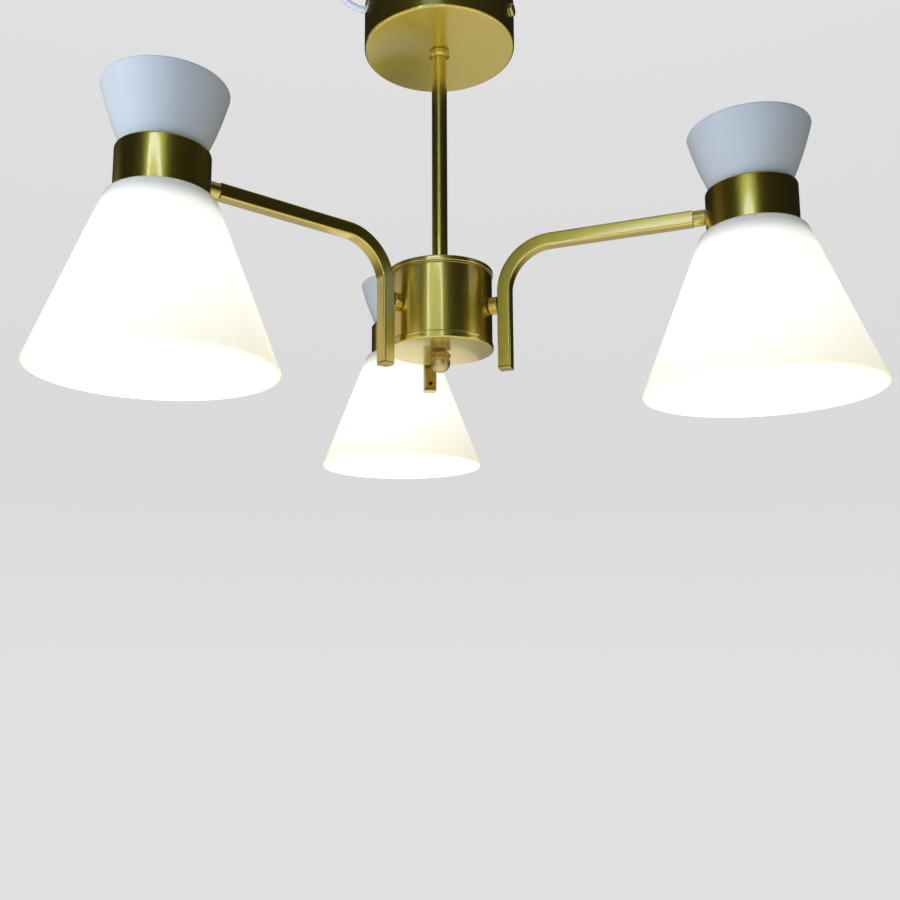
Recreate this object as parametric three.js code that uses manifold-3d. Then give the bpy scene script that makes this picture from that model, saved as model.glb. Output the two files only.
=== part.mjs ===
// Three-armed semi-flush ceiling light with hourglass heads.
// Millimetres, +Z up. The origin is the centre of the ceiling face that the mounting bracket bears on.
import * as THREE from "three";
import { mergeVertices } from "three/addons/utils/BufferGeometryUtils.js";
import Module from "manifold-3d";

const wasm = await Module();
wasm.setup();

// ---------------------------------------------------------------- driving dimensions
const CLEARANCE = 0.3; // left between pieces that touch
const FACETS = { large: 32, medium: 26, side: 18, small: 14 }; // sides of a turned piece
const ARMS = [
  { name: "back", azimuth: 90 },
  { name: "left", azimuth: 210 },
  { name: "right", azimuth: 330 },
];
const HEAD_REACH = 229; // rod axis to head axis

const CANOPY = { radius: 60, height: 37.6, wall: 1.2, edge: 2 };
const BRACKET = { azimuth: -30, width: 20, thickness: 2, earWidth: 16, earDrop: 24, earReach: 57.3 };
const BRACKET_HOLES = { earthAt: 16, earthRadius: 2.1, slotAt: 36, slotLength: 14, slotRadius: 2.6 };
const SIDE_SCREW = {
  drop: 16, shank: 1.9, beyondEar: 3, headRadius: 4.8, headHeight: 2.4, socket: 1.5, socketDepth: 1.6,
};
const TERMINAL = { length: 26, width: 14, height: 11, along: 21, across: -11 };

const ROD = { radius: 6, thread: 4.9, bore: 3.5, topThread: 12, footThread: 14 };
const ROD_RING = { radius: 8, height: 5.4, chamferWidth: 1.4, chamferHeight: 1.8 };

const HUB = { radius: 40, wall: 1.5, height: 62.5, top: -223.5 };
const HUB_CAP = { radius: 40.8, step: 40.4, sheet: 1.5, bead: 3.6, height: 5.2, lip: 3.5 };
const COUPLER = { radius: 8, length: 25, windowRadius: 2.6 };
const STUD = { radius: 2.9 };
const FINIAL = { neckRadius: 3.6, neckHeight: 1.2, nutFlats: 14, nutHeight: 3.1, ballRadius: 7.7 };

const TUBE = { size: 10, corner: 1.4, wall: 1.2, bendRadius: 36, bendSteps: 9 };
const LEG = { reach: 52, tail: 19, plugHead: 1.6, plugDepth: 5, vent: 1.5, ventRise: 6 };
const BOSS = { radius: 6.5, chamfer: 0.6 };
const BOLT = { radius: 3.5, bore: 2.2, headFlats: 12, headHeight: 3.4 };
const FERRULE = { radius: 5.5, length: 8, spigot: 3.1, tail: 3.9, bore: 2.2 };
const WIRE = { radius: 1.5, sides: 8 };
const FEED = { start: 30, turn: 2.6, bendSteps: 6, short: 2 }; // the wire inside each arm

const COLLAR = { radius: 30.5, wall: 1.5, height: 30, edge: 2 };
const HOLDER = { radius: 19.6, stud: 4.9, length: 51, throat: 14.2, throatDepth: 27, studRise: 11 };
const SHADE = { seat: 20.4, shoulder: 34.5, rimRadius: 78.3, height: 114, glass: 3.5, fillet: 7 };
const SHADE_RING = { bore: 20, radius: 28, height: 8 };
const CUP = { foot: 24.8, waist: 27.2, rimRadius: 41, height: 43, glass: 3, bulge: 0.9 };
const CUP_NUT = { radius: 9, height: 5 };
const BULB = { capRadius: 13.2, capLength: 24, globeRadius: 27.5, length: 98 };

const LEAD = { radius: 2.5, sides: 8, steps: 26 };
const CONNECTOR = { length: 22, width: 13, depth: 9 };

// ---------------------------------------------------------------- levels worked out from them
const CANOPY_FLOOR = -CANOPY.height;
const HUB_BOTTOM = HUB.top - HUB.height;
const BOSS_LEVEL = HUB.top - HUB.height / 2;
const LEG_BOTTOM = HUB_BOTTOM - LEG.tail;
const COLLAR_TOP = -195;
const COLLAR_BOTTOM = COLLAR_TOP - COLLAR.height;
const ARM_LEVEL = COLLAR_TOP - COLLAR.height / 2;
const SHADE_TOP = COLLAR_BOTTOM - CLEARANCE;
const HOLDER_TOP = COLLAR_TOP - COLLAR.wall - CLEARANCE;
const HOLDER_BOTTOM = HOLDER_TOP - HOLDER.length;
const ARM_END = HEAD_REACH - COLLAR.radius - FERRULE.length - 2 * CLEARANCE;

// ---------------------------------------------------------------- finishes
const FINISHES = {
  brass: { color: 0xa99a58, roughness: 0.38, metalness: 0.9 },
  polished: { color: 0xc2a55e, roughness: 0.18, metalness: 1.0 },
  steel: { color: 0x9a9c9e, roughness: 0.45, metalness: 1.0 },
  opal: { color: 0xfbf8ee, roughness: 0.35, metalness: 0.0 },
  white: { color: 0xdfe4ea, roughness: 0.45, metalness: 0.0 },
  porcelain: { color: 0xe9e6df, roughness: 0.3, metalness: 0.0 },
  plastic: { color: 0xd8d6d0, roughness: 0.55, metalness: 0.0 },
  cable: { color: 0xe6ebef, roughness: 0.4, metalness: 0.0 },
};

// ---------------------------------------------------------------- geometry helpers
const radians = THREE.MathUtils.degToRad;

/** Shares corner vertices, drops empty faces and turns the body the right way out. */
function tidy(geometry) {
  const bare = geometry.clone();
  bare.deleteAttribute("normal");
  bare.deleteAttribute("uv");
  const merged = mergeVertices(bare, 1e-4);
  const position = merged.attributes.position;
  const corner = [new THREE.Vector3(), new THREE.Vector3(), new THREE.Vector3()];
  const faces = [];
  let volume = 0;
  for (let i = 0; i < merged.index.count; i += 3) {
    const face = [0, 1, 2].map((k) => merged.index.getX(i + k));
    if (new Set(face).size < 3) continue;
    face.forEach((vertex, k) => corner[k].fromBufferAttribute(position, vertex));
    volume += corner[0].dot(corner[1].clone().cross(corner[2]));
    faces.push(face);
  }
  merged.setIndex(faces.flatMap(([a, b, c]) => (volume < 0 ? [a, c, b] : [a, b, c])));
  return merged;
}

function toSolid(geometry) {
  const shared = tidy(geometry);
  return new wasm.Manifold(
    new wasm.Mesh({
      numProp: 3,
      vertProperties: new Float32Array(shared.attributes.position.array),
      triVerts: new Uint32Array(shared.index.array),
    }),
  );
}

function toGeometry(solid) {
  const mesh = solid.getMesh();
  const geometry = new THREE.BufferGeometry();
  geometry.setAttribute("position", new THREE.BufferAttribute(mesh.vertProperties, 3));
  geometry.setIndex(new THREE.BufferAttribute(mesh.triVerts, 1));
  return geometry;
}

const cut = (body, ...tools) =>
  toGeometry(tools.reduce((solid, tool) => solid.subtract(toSolid(tool)), toSolid(body)));
const join = (...bodies) => toGeometry(bodies.map(toSolid).reduce((solid, next) => solid.add(next)));

/** Turns a closed outline of [radius, height] points about Z. */
function turned(outline, segments = FACETS.medium) {
  const points = outline.map(([r, z]) => new THREE.Vector2(r, z));
  const onAxis = outline[0][0] === 0 && outline[outline.length - 1][0] === 0;
  if (!onAxis) points.push(points[0].clone());
  return tidy(new THREE.LatheGeometry(points, segments).rotateX(Math.PI / 2));
}

/** Points of a round corner, from one angle to the other, in degrees. */
function arc(centreR, centreZ, radius, from, to, steps = 3) {
  return Array.from({ length: steps + 1 }, (_, i) => {
    const angle = radians(from + ((to - from) * i) / steps);
    return [centreR + radius * Math.cos(angle), centreZ + radius * Math.sin(angle)];
  });
}

/** A plain round sleeve, or a rod when bore is 0, between two heights. */
function sleeve(radius, bore, low, high, segments = FACETS.small) {
  const inner = bore > 0 ? bore : 0;
  return turned([[inner, low], [radius, low], [radius, high], [inner, high]], segments);
}

/** A round cutting tool along Z, centred on the origin. */
const drill = (radius, length, segments = 12) => new THREE.CylinderGeometry(radius, radius, length, segments)
  .rotateX(Math.PI / 2);

/** A hexagonal nut or bolt head with a round bore, between two heights. */
function hexagon(flats, bore, low, high) {
  const corner = flats / 2 / Math.cos(Math.PI / 6);
  const shape = new THREE.Shape(
    Array.from({ length: 6 }, (_, i) => {
      const angle = (i * Math.PI) / 3;
      return new THREE.Vector2(corner * Math.cos(angle), corner * Math.sin(angle));
    }),
  );
  shape.holes.push(new THREE.Path().absarc(0, 0, bore, 0, 2 * Math.PI, true));
  return new THREE.ExtrudeGeometry(shape, { depth: high - low, bevelEnabled: false, curveSegments: 6 })
    .translate(0, 0, low);
}

function square(PathClass, side) {
  const h = side / 2;
  return new PathClass([[-h, -h], [h, -h], [h, h], [-h, h]].map(([x, y]) => new THREE.Vector2(x, y)));
}

/** A square outline with round corners. */
function roundedSquare(PathClass, side, corner) {
  const h = side / 2;
  const k = h - corner;
  const path = new PathClass();
  path.moveTo(k, -h);
  path.absarc(k, -k, corner, -Math.PI / 2, 0);
  path.absarc(k, k, corner, 0, Math.PI / 2);
  path.absarc(-k, k, corner, Math.PI / 2, Math.PI);
  path.absarc(-k, -k, corner, Math.PI, 1.5 * Math.PI);
  return path;
}

/** A route whose steps follow its own parameter, so straights need no extra sections. */
class SteppedCurve extends THREE.Curve {
  getPointAt(u, target) {
    return this.getPoint(u, target);
  }
  getTangentAt(u, target) {
    return this.getTangent(u, target);
  }
}

/** The arm's centreline in its own X-Z plane: in along the run, round the bend, down the leg. */
class ArmRoute extends SteppedCurve {
  constructor(startX, endZ) {
    super();
    this.steps = TUBE.bendSteps + 2;
    this.startX = startX;
    this.endZ = endZ;
  }
  getPoint(t, target = new THREE.Vector3()) {
    const step = t * this.steps;
    const bendX = LEG.reach + TUBE.bendRadius;
    const bendZ = ARM_LEVEL - TUBE.bendRadius;
    if (step < 1) return target.set(THREE.MathUtils.lerp(this.startX, bendX, step), 0, ARM_LEVEL);
    if (step > this.steps - 1) {
      const share = step - (this.steps - 1);
      return target.set(LEG.reach, 0, THREE.MathUtils.lerp(bendZ, this.endZ, share));
    }
    const angle = (((step - 1) / TUBE.bendSteps) * Math.PI) / 2;
    return target.set(
      bendX - TUBE.bendRadius * Math.sin(angle),
      0,
      bendZ + TUBE.bendRadius * Math.cos(angle),
    );
  }
}

const sweep = (shape, route, steps) =>
  new THREE.ExtrudeGeometry(shape, { steps, extrudePath: route, curveSegments: 1, bevelEnabled: false });

const roundSection = (radius, sides) => new THREE.Shape(
  Array.from({ length: sides }, (_, i) => {
    const angle = (i * 2 * Math.PI) / sides;
    return new THREE.Vector2(radius * Math.cos(angle), radius * Math.sin(angle));
  }),
);

// ---------------------------------------------------------------- scene graph
const light = new THREE.Group();

function add(parent, name, geometry, finish) {
  const mesh = new THREE.Mesh(tidy(geometry), new THREE.MeshStandardMaterial(FINISHES[finish]));
  mesh.name = name;
  parent.add(mesh);
  return mesh;
}

/** A piece modelled along +Z from its own origin, laid along the parent's +X at a height. */
function addAlongX(parent, name, geometry, finish, x, z) {
  const mesh = add(parent, name, geometry, finish);
  mesh.rotation.y = Math.PI / 2;
  mesh.position.set(x, 0, z);
  return mesh;
}

function turnedGroup(parent, azimuth) {
  const group = new THREE.Group();
  group.rotation.z = radians(azimuth);
  parent.add(group);
  return group;
}

// ---------------------------------------------------------------- ceiling end
function canopyShell() {
  const { radius, wall, edge } = CANOPY;
  const bore = ROD.thread + CLEARANCE;
  const shell = turned(
    [
      [bore, CANOPY_FLOOR],
      ...arc(radius - edge, CANOPY_FLOOR + edge, edge, -90, 0),
      [radius, 0],
      [radius - wall, 0],
      [radius - wall, CANOPY_FLOOR + edge],
      [radius - edge, CANOPY_FLOOR + wall],
      [bore, CANOPY_FLOOR + wall],
    ],
    FACETS.large,
  );
  const holes = [0, 180].map((turn) =>
    drill(SIDE_SCREW.shank + CLEARANCE, 8)
      .rotateY(Math.PI / 2)
      .translate(radius, 0, -SIDE_SCREW.drop)
      .rotateZ(radians(BRACKET.azimuth + turn)));
  return cut(shell, ...holes);
}

function mountingBracket() {
  const { width, thickness, earWidth, earDrop, earReach } = BRACKET;
  const strap = new THREE.Shape();
  strap.moveTo(-earReach, -earWidth / 2);
  strap.lineTo(-earReach + thickness, -width / 2);
  strap.lineTo(earReach - thickness, -width / 2);
  strap.lineTo(earReach, -earWidth / 2);
  strap.lineTo(earReach, earWidth / 2);
  strap.lineTo(earReach - thickness, width / 2);
  strap.lineTo(-earReach + thickness, width / 2);
  strap.lineTo(-earReach, earWidth / 2);
  const { earthAt, earthRadius, slotAt, slotLength, slotRadius } = BRACKET_HOLES;
  strap.holes.push(new THREE.Path().absarc(earthAt, 0, earthRadius, 0, 2 * Math.PI, true));
  for (const side of [-1, 1]) strap.holes.push(slot(side * slotAt, slotLength, slotRadius));
  const plate = new THREE.ExtrudeGeometry(strap, { depth: thickness, bevelEnabled: false, curveSegments: 5 })
    .translate(0, 0, -thickness);
  const ears = [-1, 1].map((side) => {
    const ear = new THREE.BoxGeometry(thickness, earWidth, earDrop);
    ear.translate(side * (earReach - thickness / 2), 0, -earDrop / 2);
    const hole = drill(SIDE_SCREW.shank + CLEARANCE, 10).rotateY(Math.PI / 2);
    hole.translate(side * earReach, 0, -SIDE_SCREW.drop);
    return cut(ear, hole);
  });
  return join(plate, ...ears);
}

/** A slot's outline along X, centred on x. */
function slot(x, length, radius) {
  const half = length / 2 - radius;
  const path = new THREE.Path();
  path.moveTo(x - half, -radius);
  path.absarc(x - half, 0, radius, -Math.PI / 2, Math.PI / 2, true);
  path.absarc(x + half, 0, radius, Math.PI / 2, -Math.PI / 2, true);
  return path;
}

/** Side screw along +Z, its head's bearing face at the origin, with a round socket in the low dome. */
function sideScrew() {
  const { shank, beyondEar, headRadius, headHeight, socket, socketDepth } = SIDE_SCREW;
  const reach = CANOPY.radius + CLEARANCE - (BRACKET.earReach - BRACKET.thickness - beyondEar);
  const floor = headHeight - socketDepth;
  return turned(
    [
      [0, -reach],
      [shank, -reach],
      [shank, 0],
      [headRadius, 0],
      [headRadius, 0.9],
      [headRadius - 0.7, headHeight - 0.5],
      [headRadius - 2, headHeight],
      [socket, headHeight],
      [socket, floor],
      [0, floor],
    ],
    FACETS.side,
  );
}

function terminalBlock() {
  const { length, width, height } = TERMINAL;
  const block = new THREE.BoxGeometry(length, width, height);
  const wells = [-8, 0, 8].map((x) => drill(2, 6, 10).translate(x, 0, -height / 2));
  return cut(block, ...wells);
}

function addCeilingEnd(group) {
  const across = turnedGroup(group, BRACKET.azimuth);
  add(across, "mounting_bracket", mountingBracket(), "steel");
  add(group, "canopy_shell", canopyShell(), "brass");
  const sides = { right: BRACKET.azimuth, left: BRACKET.azimuth + 180 };
  for (const [side, azimuth] of Object.entries(sides)) {
    const head = CANOPY.radius + CLEARANCE;
    addAlongX(turnedGroup(group, azimuth), `canopy_screw_${side}`, sideScrew(), "polished", head,
      -SIDE_SCREW.drop);
  }
  const block = add(across, "terminal_block", terminalBlock(), "plastic");
  const drop = BRACKET.thickness + CLEARANCE + TERMINAL.height / 2;
  block.position.set(-TERMINAL.along, TERMINAL.across, -drop);
}

// ---------------------------------------------------------------- supply lead
/** Out of the terminal block, over the canopy's rim and up towards the ceiling outlet. */
const LEAD_ROUTE = [
  [-36.2, 8, -8],
  [-40.5, 9.3, -7.2],
  [-45, 10.8, -5],
  [-49.5, 12.2, -1.9],
  [-54, 13.7, 1.5],
  [-58.6, 15.2, 4.1],
  [-63.2, 16.7, 6.4],
  [-67.6, 18.2, 9.2],
  [-71.6, 19.5, 12.4],
  [-75.2, 20.8, 16.1],
  [-78.4, 22, 20.4],
  [-81.1, 23, 25.2],
  [-83.3, 23.9, 30.4],
  [-84.9, 24.6, 35.6],
  [-85.8, 25, 40.8],
  [-86, 25.2, 46],
].map((point) => new THREE.Vector3(...point));

function addLead(group) {
  const route = new THREE.CatmullRomCurve3(LEAD_ROUTE, false, "centripetal");
  add(group, "supply_lead", sweep(roundSection(LEAD.radius, LEAD.sides), route, LEAD.steps), "cable");
  const end = LEAD_ROUTE[LEAD_ROUTE.length - 1];
  const connector = add(group, "lead_connector", leadConnector(), "plastic");
  connector.position.set(end.x, end.y, end.z + CLEARANCE);
}

function leadConnector() {
  const { length, width, depth } = CONNECTOR;
  const body = new THREE.BoxGeometry(width, depth, length).translate(0, 0, length / 2);
  const ports = [-3, 3].map((x) => drill(1.6, 8, 10).translate(x, 0, length));
  return cut(body, ...ports);
}

// ---------------------------------------------------------------- rod
function downRod() {
  const { radius, thread, bore, topThread, footThread } = ROD;
  const top = CANOPY_FLOOR - CLEARANCE;
  const foot = HUB.top + CLEARANCE;
  return turned(
    [
      [bore, foot - footThread],
      [thread, foot - footThread],
      [thread, foot],
      [radius, foot],
      [radius, top],
      [thread, top],
      [thread, top + topThread],
      [bore, top + topThread],
    ],
    FACETS.small,
  );
}

function canopyLocknut() {
  const low = CANOPY_FLOOR + CANOPY.wall + CLEARANCE;
  const flange = sleeve(10, ROD.thread + CLEARANCE, low, low + 1.6);
  return join(flange, hexagon(15, ROD.thread + CLEARANCE, low + 1.2, low + 6.5));
}

function rodRing() {
  const { radius, height, chamferWidth, chamferHeight } = ROD_RING;
  const bore = ROD.radius + CLEARANCE;
  const top = CANOPY_FLOOR - CLEARANCE;
  const low = top - height;
  return turned(
    [
      [bore, low],
      [radius - chamferWidth, low],
      [radius, low + chamferHeight],
      [radius, top - 0.4],
      [radius - 0.4, top],
      [bore, top],
    ],
    FACETS.small,
  );
}

function rodWire() {
  const top = CANOPY_FLOOR + 16;
  const foot = HUB.top - 19;
  return sleeve(WIRE.radius + 0.5, 0, foot, top, WIRE.sides);
}

function addRod(group) {
  add(group, "canopy_locknut", canopyLocknut(), "steel");
  add(group, "rod_ring", rodRing(), "brass");
  add(group, "down_rod", downRod(), "brass");
  add(group, "rod_wire", rodWire(), "cable");
}

// ---------------------------------------------------------------- hub
/** End cap of the hub: outer face at height 0, the stepped bead and the inner lip above it. */
function hubCap(bore) {
  const { radius, step, sheet, bead, height, lip } = HUB_CAP;
  const lipRadius = HUB.radius - HUB.wall - CLEARANCE;
  return turned(
    [
      [bore, 0],
      ...arc(radius - 1.3, 1.3, 1.3, -90, 0, 1),
      [radius, bead],
      [step, bead],
      [step, height],
      [lipRadius, height],
      [lipRadius, height + lip],
      [lipRadius - sheet, height + lip],
      [lipRadius - sheet, sheet],
      [bore, sheet],
    ],
    FACETS.large,
  );
}

function hubBody() {
  const low = HUB_BOTTOM + HUB_CAP.height + CLEARANCE;
  const high = HUB.top - HUB_CAP.height - CLEARANCE;
  const tube = sleeve(HUB.radius, HUB.radius - HUB.wall, low, high, FACETS.large);
  const holes = ARMS.map(({ azimuth }) =>
    drill(BOLT.radius + CLEARANCE, 10)
      .rotateY(Math.PI / 2)
      .translate(HUB.radius, 0, BOSS_LEVEL)
      .rotateZ(radians(azimuth)));
  return cut(tube, ...holes);
}

/** Round sleeve that clamps the top cap to the rod and carries the finial stud. */
function hubCoupler() {
  const { radius, length, windowRadius } = COUPLER;
  const top = HUB.top - HUB_CAP.sheet - CLEARANCE;
  const foot = HUB.top + CLEARANCE - ROD.footThread - CLEARANCE;
  const sleeveBody = turned(
    [
      [STUD.radius + CLEARANCE, top - length],
      [radius, top - length],
      [radius, top],
      [ROD.thread + CLEARANCE, top],
      [ROD.thread + CLEARANCE, foot - 7],
      [STUD.radius + CLEARANCE, foot - 7],
    ],
    FACETS.small,
  );
  const wireWindow = drill(windowRadius, 12).rotateX(Math.PI / 2).translate(0, radius, foot - 3.6);
  return cut(sleeveBody, wireWindow);
}

function finialBall() {
  const { neckHeight, nutHeight, ballRadius } = FINIAL;
  const top = HUB_BOTTOM - CLEARANCE - neckHeight - nutHeight - CLEARANCE;
  const centre = HUB_BOTTOM - 8.6;
  const start = (Math.asin((top - centre) / ballRadius) * 180) / Math.PI;
  const bore = STUD.radius + CLEARANCE;
  const depth = centre - 1.2;
  return turned([[0, depth], [0, centre - ballRadius], ...arc(0, centre, ballRadius, -70, start, 6),
    [bore, top], [bore, depth]], FACETS.small);
}

function finialNut() {
  const { neckRadius, neckHeight, nutFlats, nutHeight } = FINIAL;
  const bore = STUD.radius + CLEARANCE;
  const top = HUB_BOTTOM - CLEARANCE;
  const neck = sleeve(neckRadius, bore, top - neckHeight - 0.5, top, 12);
  return join(neck, hexagon(nutFlats, bore, top - neckHeight - nutHeight, top - neckHeight));
}

function addHub(group) {
  const topCap = add(group, "hub_top_cap", hubCap(ROD.thread + CLEARANCE), "brass");
  topCap.rotation.x = Math.PI;
  topCap.position.z = HUB.top;
  const bottomCap = add(group, "hub_bottom_cap", hubCap(STUD.radius + CLEARANCE), "brass");
  bottomCap.position.z = HUB_BOTTOM;
  add(group, "hub_body", hubBody(), "brass");
  add(group, "hub_coupler", hubCoupler(), "steel");
  const studTop = HUB.top - HUB_CAP.sheet - COUPLER.length + 4;
  add(group, "finial_stud", sleeve(STUD.radius, 0, HUB_BOTTOM - 9.4, studTop, 12), "steel");
  add(group, "finial_nut", finialNut(), "polished");
  add(group, "finial_ball", finialBall(), "polished");
}

// ---------------------------------------------------------------- arm
function armTube() {
  const section = roundedSquare(THREE.Shape, TUBE.size, TUBE.corner);
  section.holes.push(square(THREE.Path, TUBE.size - 2 * TUBE.wall));
  const route = new ArmRoute(ARM_END, LEG_BOTTOM + LEG.plugHead + CLEARANCE);
  const tube = sweep(section, route, route.steps);
  const inward = LEG.reach - TUBE.size / 2;
  const boltHole = drill(BOLT.radius + CLEARANCE, 5).rotateY(Math.PI / 2).translate(inward, 0, BOSS_LEVEL);
  const vent = drill(LEG.vent, 5, 12)
    .rotateY(Math.PI / 2)
    .translate(inward, 0, LEG_BOTTOM + LEG.ventRise);
  return cut(tube, boltHole, vent);
}

function armEndPlug() {
  const depth = LEG.plugHead;
  const head = new THREE.ExtrudeGeometry(roundedSquare(THREE.Shape, TUBE.size - 0.6, TUBE.corner), {
    depth: depth - 0.6,
    bevelEnabled: true,
    bevelThickness: 0.3,
    bevelSize: 0.3,
    bevelSegments: 1,
    curveSegments: 1,
  }).translate(0, 0, 0.3);
  const spigotSide = TUBE.size - 2 * TUBE.wall - 2 * CLEARANCE;
  const spigot = new THREE.BoxGeometry(spigotSide, spigotSide, LEG.plugDepth);
  spigot.translate(0, 0, depth - 0.4 + LEG.plugDepth / 2);
  const groove = drill(LEG.vent, 5, 12).rotateY(Math.PI / 2).translate(-spigotSide / 2, 0, LEG.ventRise);
  return cut(join(head, spigot), groove);
}

/** Boss between the hub and the leg, from its inner face at height 0 outward. */
function spacerBoss() {
  const { radius, chamfer } = BOSS;
  const length = LEG.reach - TUBE.size / 2 - HUB.radius - 2 * CLEARANCE;
  const bore = BOLT.radius + CLEARANCE;
  return turned(
    [
      [bore, 0],
      [radius - chamfer, 0],
      [radius, chamfer],
      [radius, length - chamfer],
      [radius - chamfer, length],
      [bore, length],
    ],
    FACETS.small,
  );
}

/** Hollow bolt: its head inside the hub, its shank through the boss into the leg. */
function armBolt() {
  const headFace = HUB.radius - HUB.wall - 0.9;
  const shankEnd = LEG.reach - TUBE.size / 2 + TUBE.wall + 0.8;
  const head = hexagon(BOLT.headFlats, BOLT.bore, 0, BOLT.headHeight);
  const shank = sleeve(BOLT.radius, BOLT.bore, 1, shankEnd - headFace + BOLT.headHeight, 12);
  return { geometry: join(head, shank), start: headFace - BOLT.headHeight };
}

/** Ferrule along +Z, its flange starting at height 0, with a spigot behind and a tail in front. */
function ferrule() {
  const { radius, length, spigot, tail, bore } = FERRULE;
  return turned(
    [
      [bore, -7],
      [spigot, -7],
      [spigot, 0],
      [radius - 0.3, 0],
      [radius, 0.3],
      [radius, length - 0.3],
      [radius - 0.3, length],
      [tail, length],
      [tail, length + 8.5],
      [bore, length + 8.5],
    ],
    FACETS.small,
  );
}

/** Corners of the feed wire's way: through the bolt, up the leg, round the bend, along the arm. */
function wireCorners() {
  const { start, turn, bendSteps } = FEED;
  const bend = Array.from({ length: bendSteps }, (_, i) => {
    const angle = ((i + 1) / bendSteps) * (Math.PI / 2);
    return [
      LEG.reach + TUBE.bendRadius * (1 - Math.cos(angle)),
      ARM_LEVEL - TUBE.bendRadius * (1 - Math.sin(angle)),
    ];
  });
  return [
    [start, BOSS_LEVEL],
    [LEG.reach - turn, BOSS_LEVEL],
    [LEG.reach - turn * 0.3, BOSS_LEVEL + turn * 0.3],
    [LEG.reach, BOSS_LEVEL + turn],
    [LEG.reach, ARM_LEVEL - TUBE.bendRadius],
    ...bend,
    [HEAD_REACH - HOLDER.radius - FEED.short, ARM_LEVEL],
  ];
}

class WireRoute extends SteppedCurve {
  constructor() {
    super();
    this.corners = wireCorners();
    this.steps = this.corners.length - 1;
  }
  getPoint(t, target = new THREE.Vector3()) {
    const step = Math.min(Math.floor(t * this.steps), this.steps - 1);
    const share = t * this.steps - step;
    const [from, to] = [this.corners[step], this.corners[step + 1]];
    return target.set(
      THREE.MathUtils.lerp(from[0], to[0], share),
      0,
      THREE.MathUtils.lerp(from[1], to[1], share),
    );
  }
}

function armWire() {
  const route = new WireRoute();
  return sweep(roundSection(WIRE.radius, WIRE.sides), route, route.steps);
}

function addArm(group, name) {
  add(group, `${name}_arm_tube`, armTube(), "brass");
  const plug = add(group, `${name}_arm_end_plug`, armEndPlug(), "brass");
  plug.position.set(LEG.reach, 0, LEG_BOTTOM);
  addAlongX(group, `${name}_spacer_boss`, spacerBoss(), "brass", HUB.radius + CLEARANCE, BOSS_LEVEL);
  const bolt = armBolt();
  addAlongX(group, `${name}_arm_bolt`, bolt.geometry, "steel", bolt.start, BOSS_LEVEL);
  add(group, `${name}_arm_wire`, armWire(), "cable");
  addAlongX(group, `${name}_ferrule`, ferrule(), "brass", ARM_END + CLEARANCE, ARM_LEVEL);
}

// ---------------------------------------------------------------- head
function headCollar() {
  const { radius, wall, edge } = COLLAR;
  const bore = HOLDER.stud + CLEARANCE;
  const shell = turned(
    [
      [bore, COLLAR_TOP - wall],
      [radius - edge, COLLAR_TOP - wall],
      [radius - wall, COLLAR_TOP - edge],
      [radius - wall, COLLAR_BOTTOM],
      [radius, COLLAR_BOTTOM],
      ...arc(radius - edge, COLLAR_TOP - edge, edge, 0, 90, 2),
      [bore, COLLAR_TOP],
    ],
    FACETS.medium,
  );
  const hole = drill(FERRULE.tail + CLEARANCE, 8).rotateY(Math.PI / 2).translate(-radius, 0, ARM_LEVEL);
  return cut(shell, hole);
}

/** Nut on the ferrule's tail inside the collar, along +Z from height 0. */
function ferruleNut() {
  return hexagon(12, FERRULE.tail + CLEARANCE, 0, 3);
}

function lampholder() {
  const { radius, stud, throat, throatDepth, studRise } = HOLDER;
  const throatTop = HOLDER_BOTTOM + throatDepth;
  return turned(
    [
      [0, throatTop],
      [throat, throatTop],
      [throat, HOLDER_BOTTOM],
      [radius, HOLDER_BOTTOM],
      [radius, HOLDER_TOP - 3],
      [radius - 3, HOLDER_TOP],
      [stud, HOLDER_TOP],
      [stud, COLLAR_TOP + studRise],
      [0, COLLAR_TOP + studRise],
    ],
    FACETS.small,
  );
}

function lowerShade() {
  const { seat, shoulder, rimRadius, height, glass, fillet } = SHADE;
  const lean = (Math.atan((rimRadius - shoulder) / height) * 180) / Math.PI;
  const back = fillet * Math.tan(radians((90 - lean) / 2));
  const outer = arc(shoulder - back, SHADE_TOP - fillet, fillet, 90, lean, 3);
  const inner = arc(shoulder - back, SHADE_TOP - fillet, fillet - glass, lean, 90, 2);
  const rim = SHADE_TOP - height;
  return turned(
    [
      [seat, SHADE_TOP],
      ...outer,
      [rimRadius, rim + glass / 2],
      [rimRadius - glass / 2, rim],
      [rimRadius - glass, rim + glass / 2],
      ...inner,
      [seat, SHADE_TOP - glass],
    ],
    FACETS.medium,
  );
}

function shadeRing() {
  const { bore, radius, height } = SHADE_RING;
  const top = SHADE_TOP - SHADE.glass - CLEARANCE;
  return turned(
    [
      [bore, top - height],
      [bore + 2, top - height],
      [bore + 2.4, top - 2],
      [radius, top - 1.6],
      [radius, top],
      [bore, top],
    ],
    20,
  );
}

function bulb() {
  const { capRadius, capLength, globeRadius, length } = BULB;
  const top = HOLDER_BOTTOM + HOLDER.throatDepth - 1;
  const neck = top - capLength;
  const globeCentre = top - length + globeRadius;
  return turned(
    [
      [0, top],
      [capRadius * 0.5, top],
      [capRadius, top - 4],
      [capRadius, neck],
      [capRadius + 1.6, neck - 6],
      [globeRadius * 0.82, globeCentre + globeRadius * 0.75],
      ...arc(0, globeCentre, globeRadius, 25, -90, 5),
    ],
    FACETS.small,
  );
}

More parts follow.
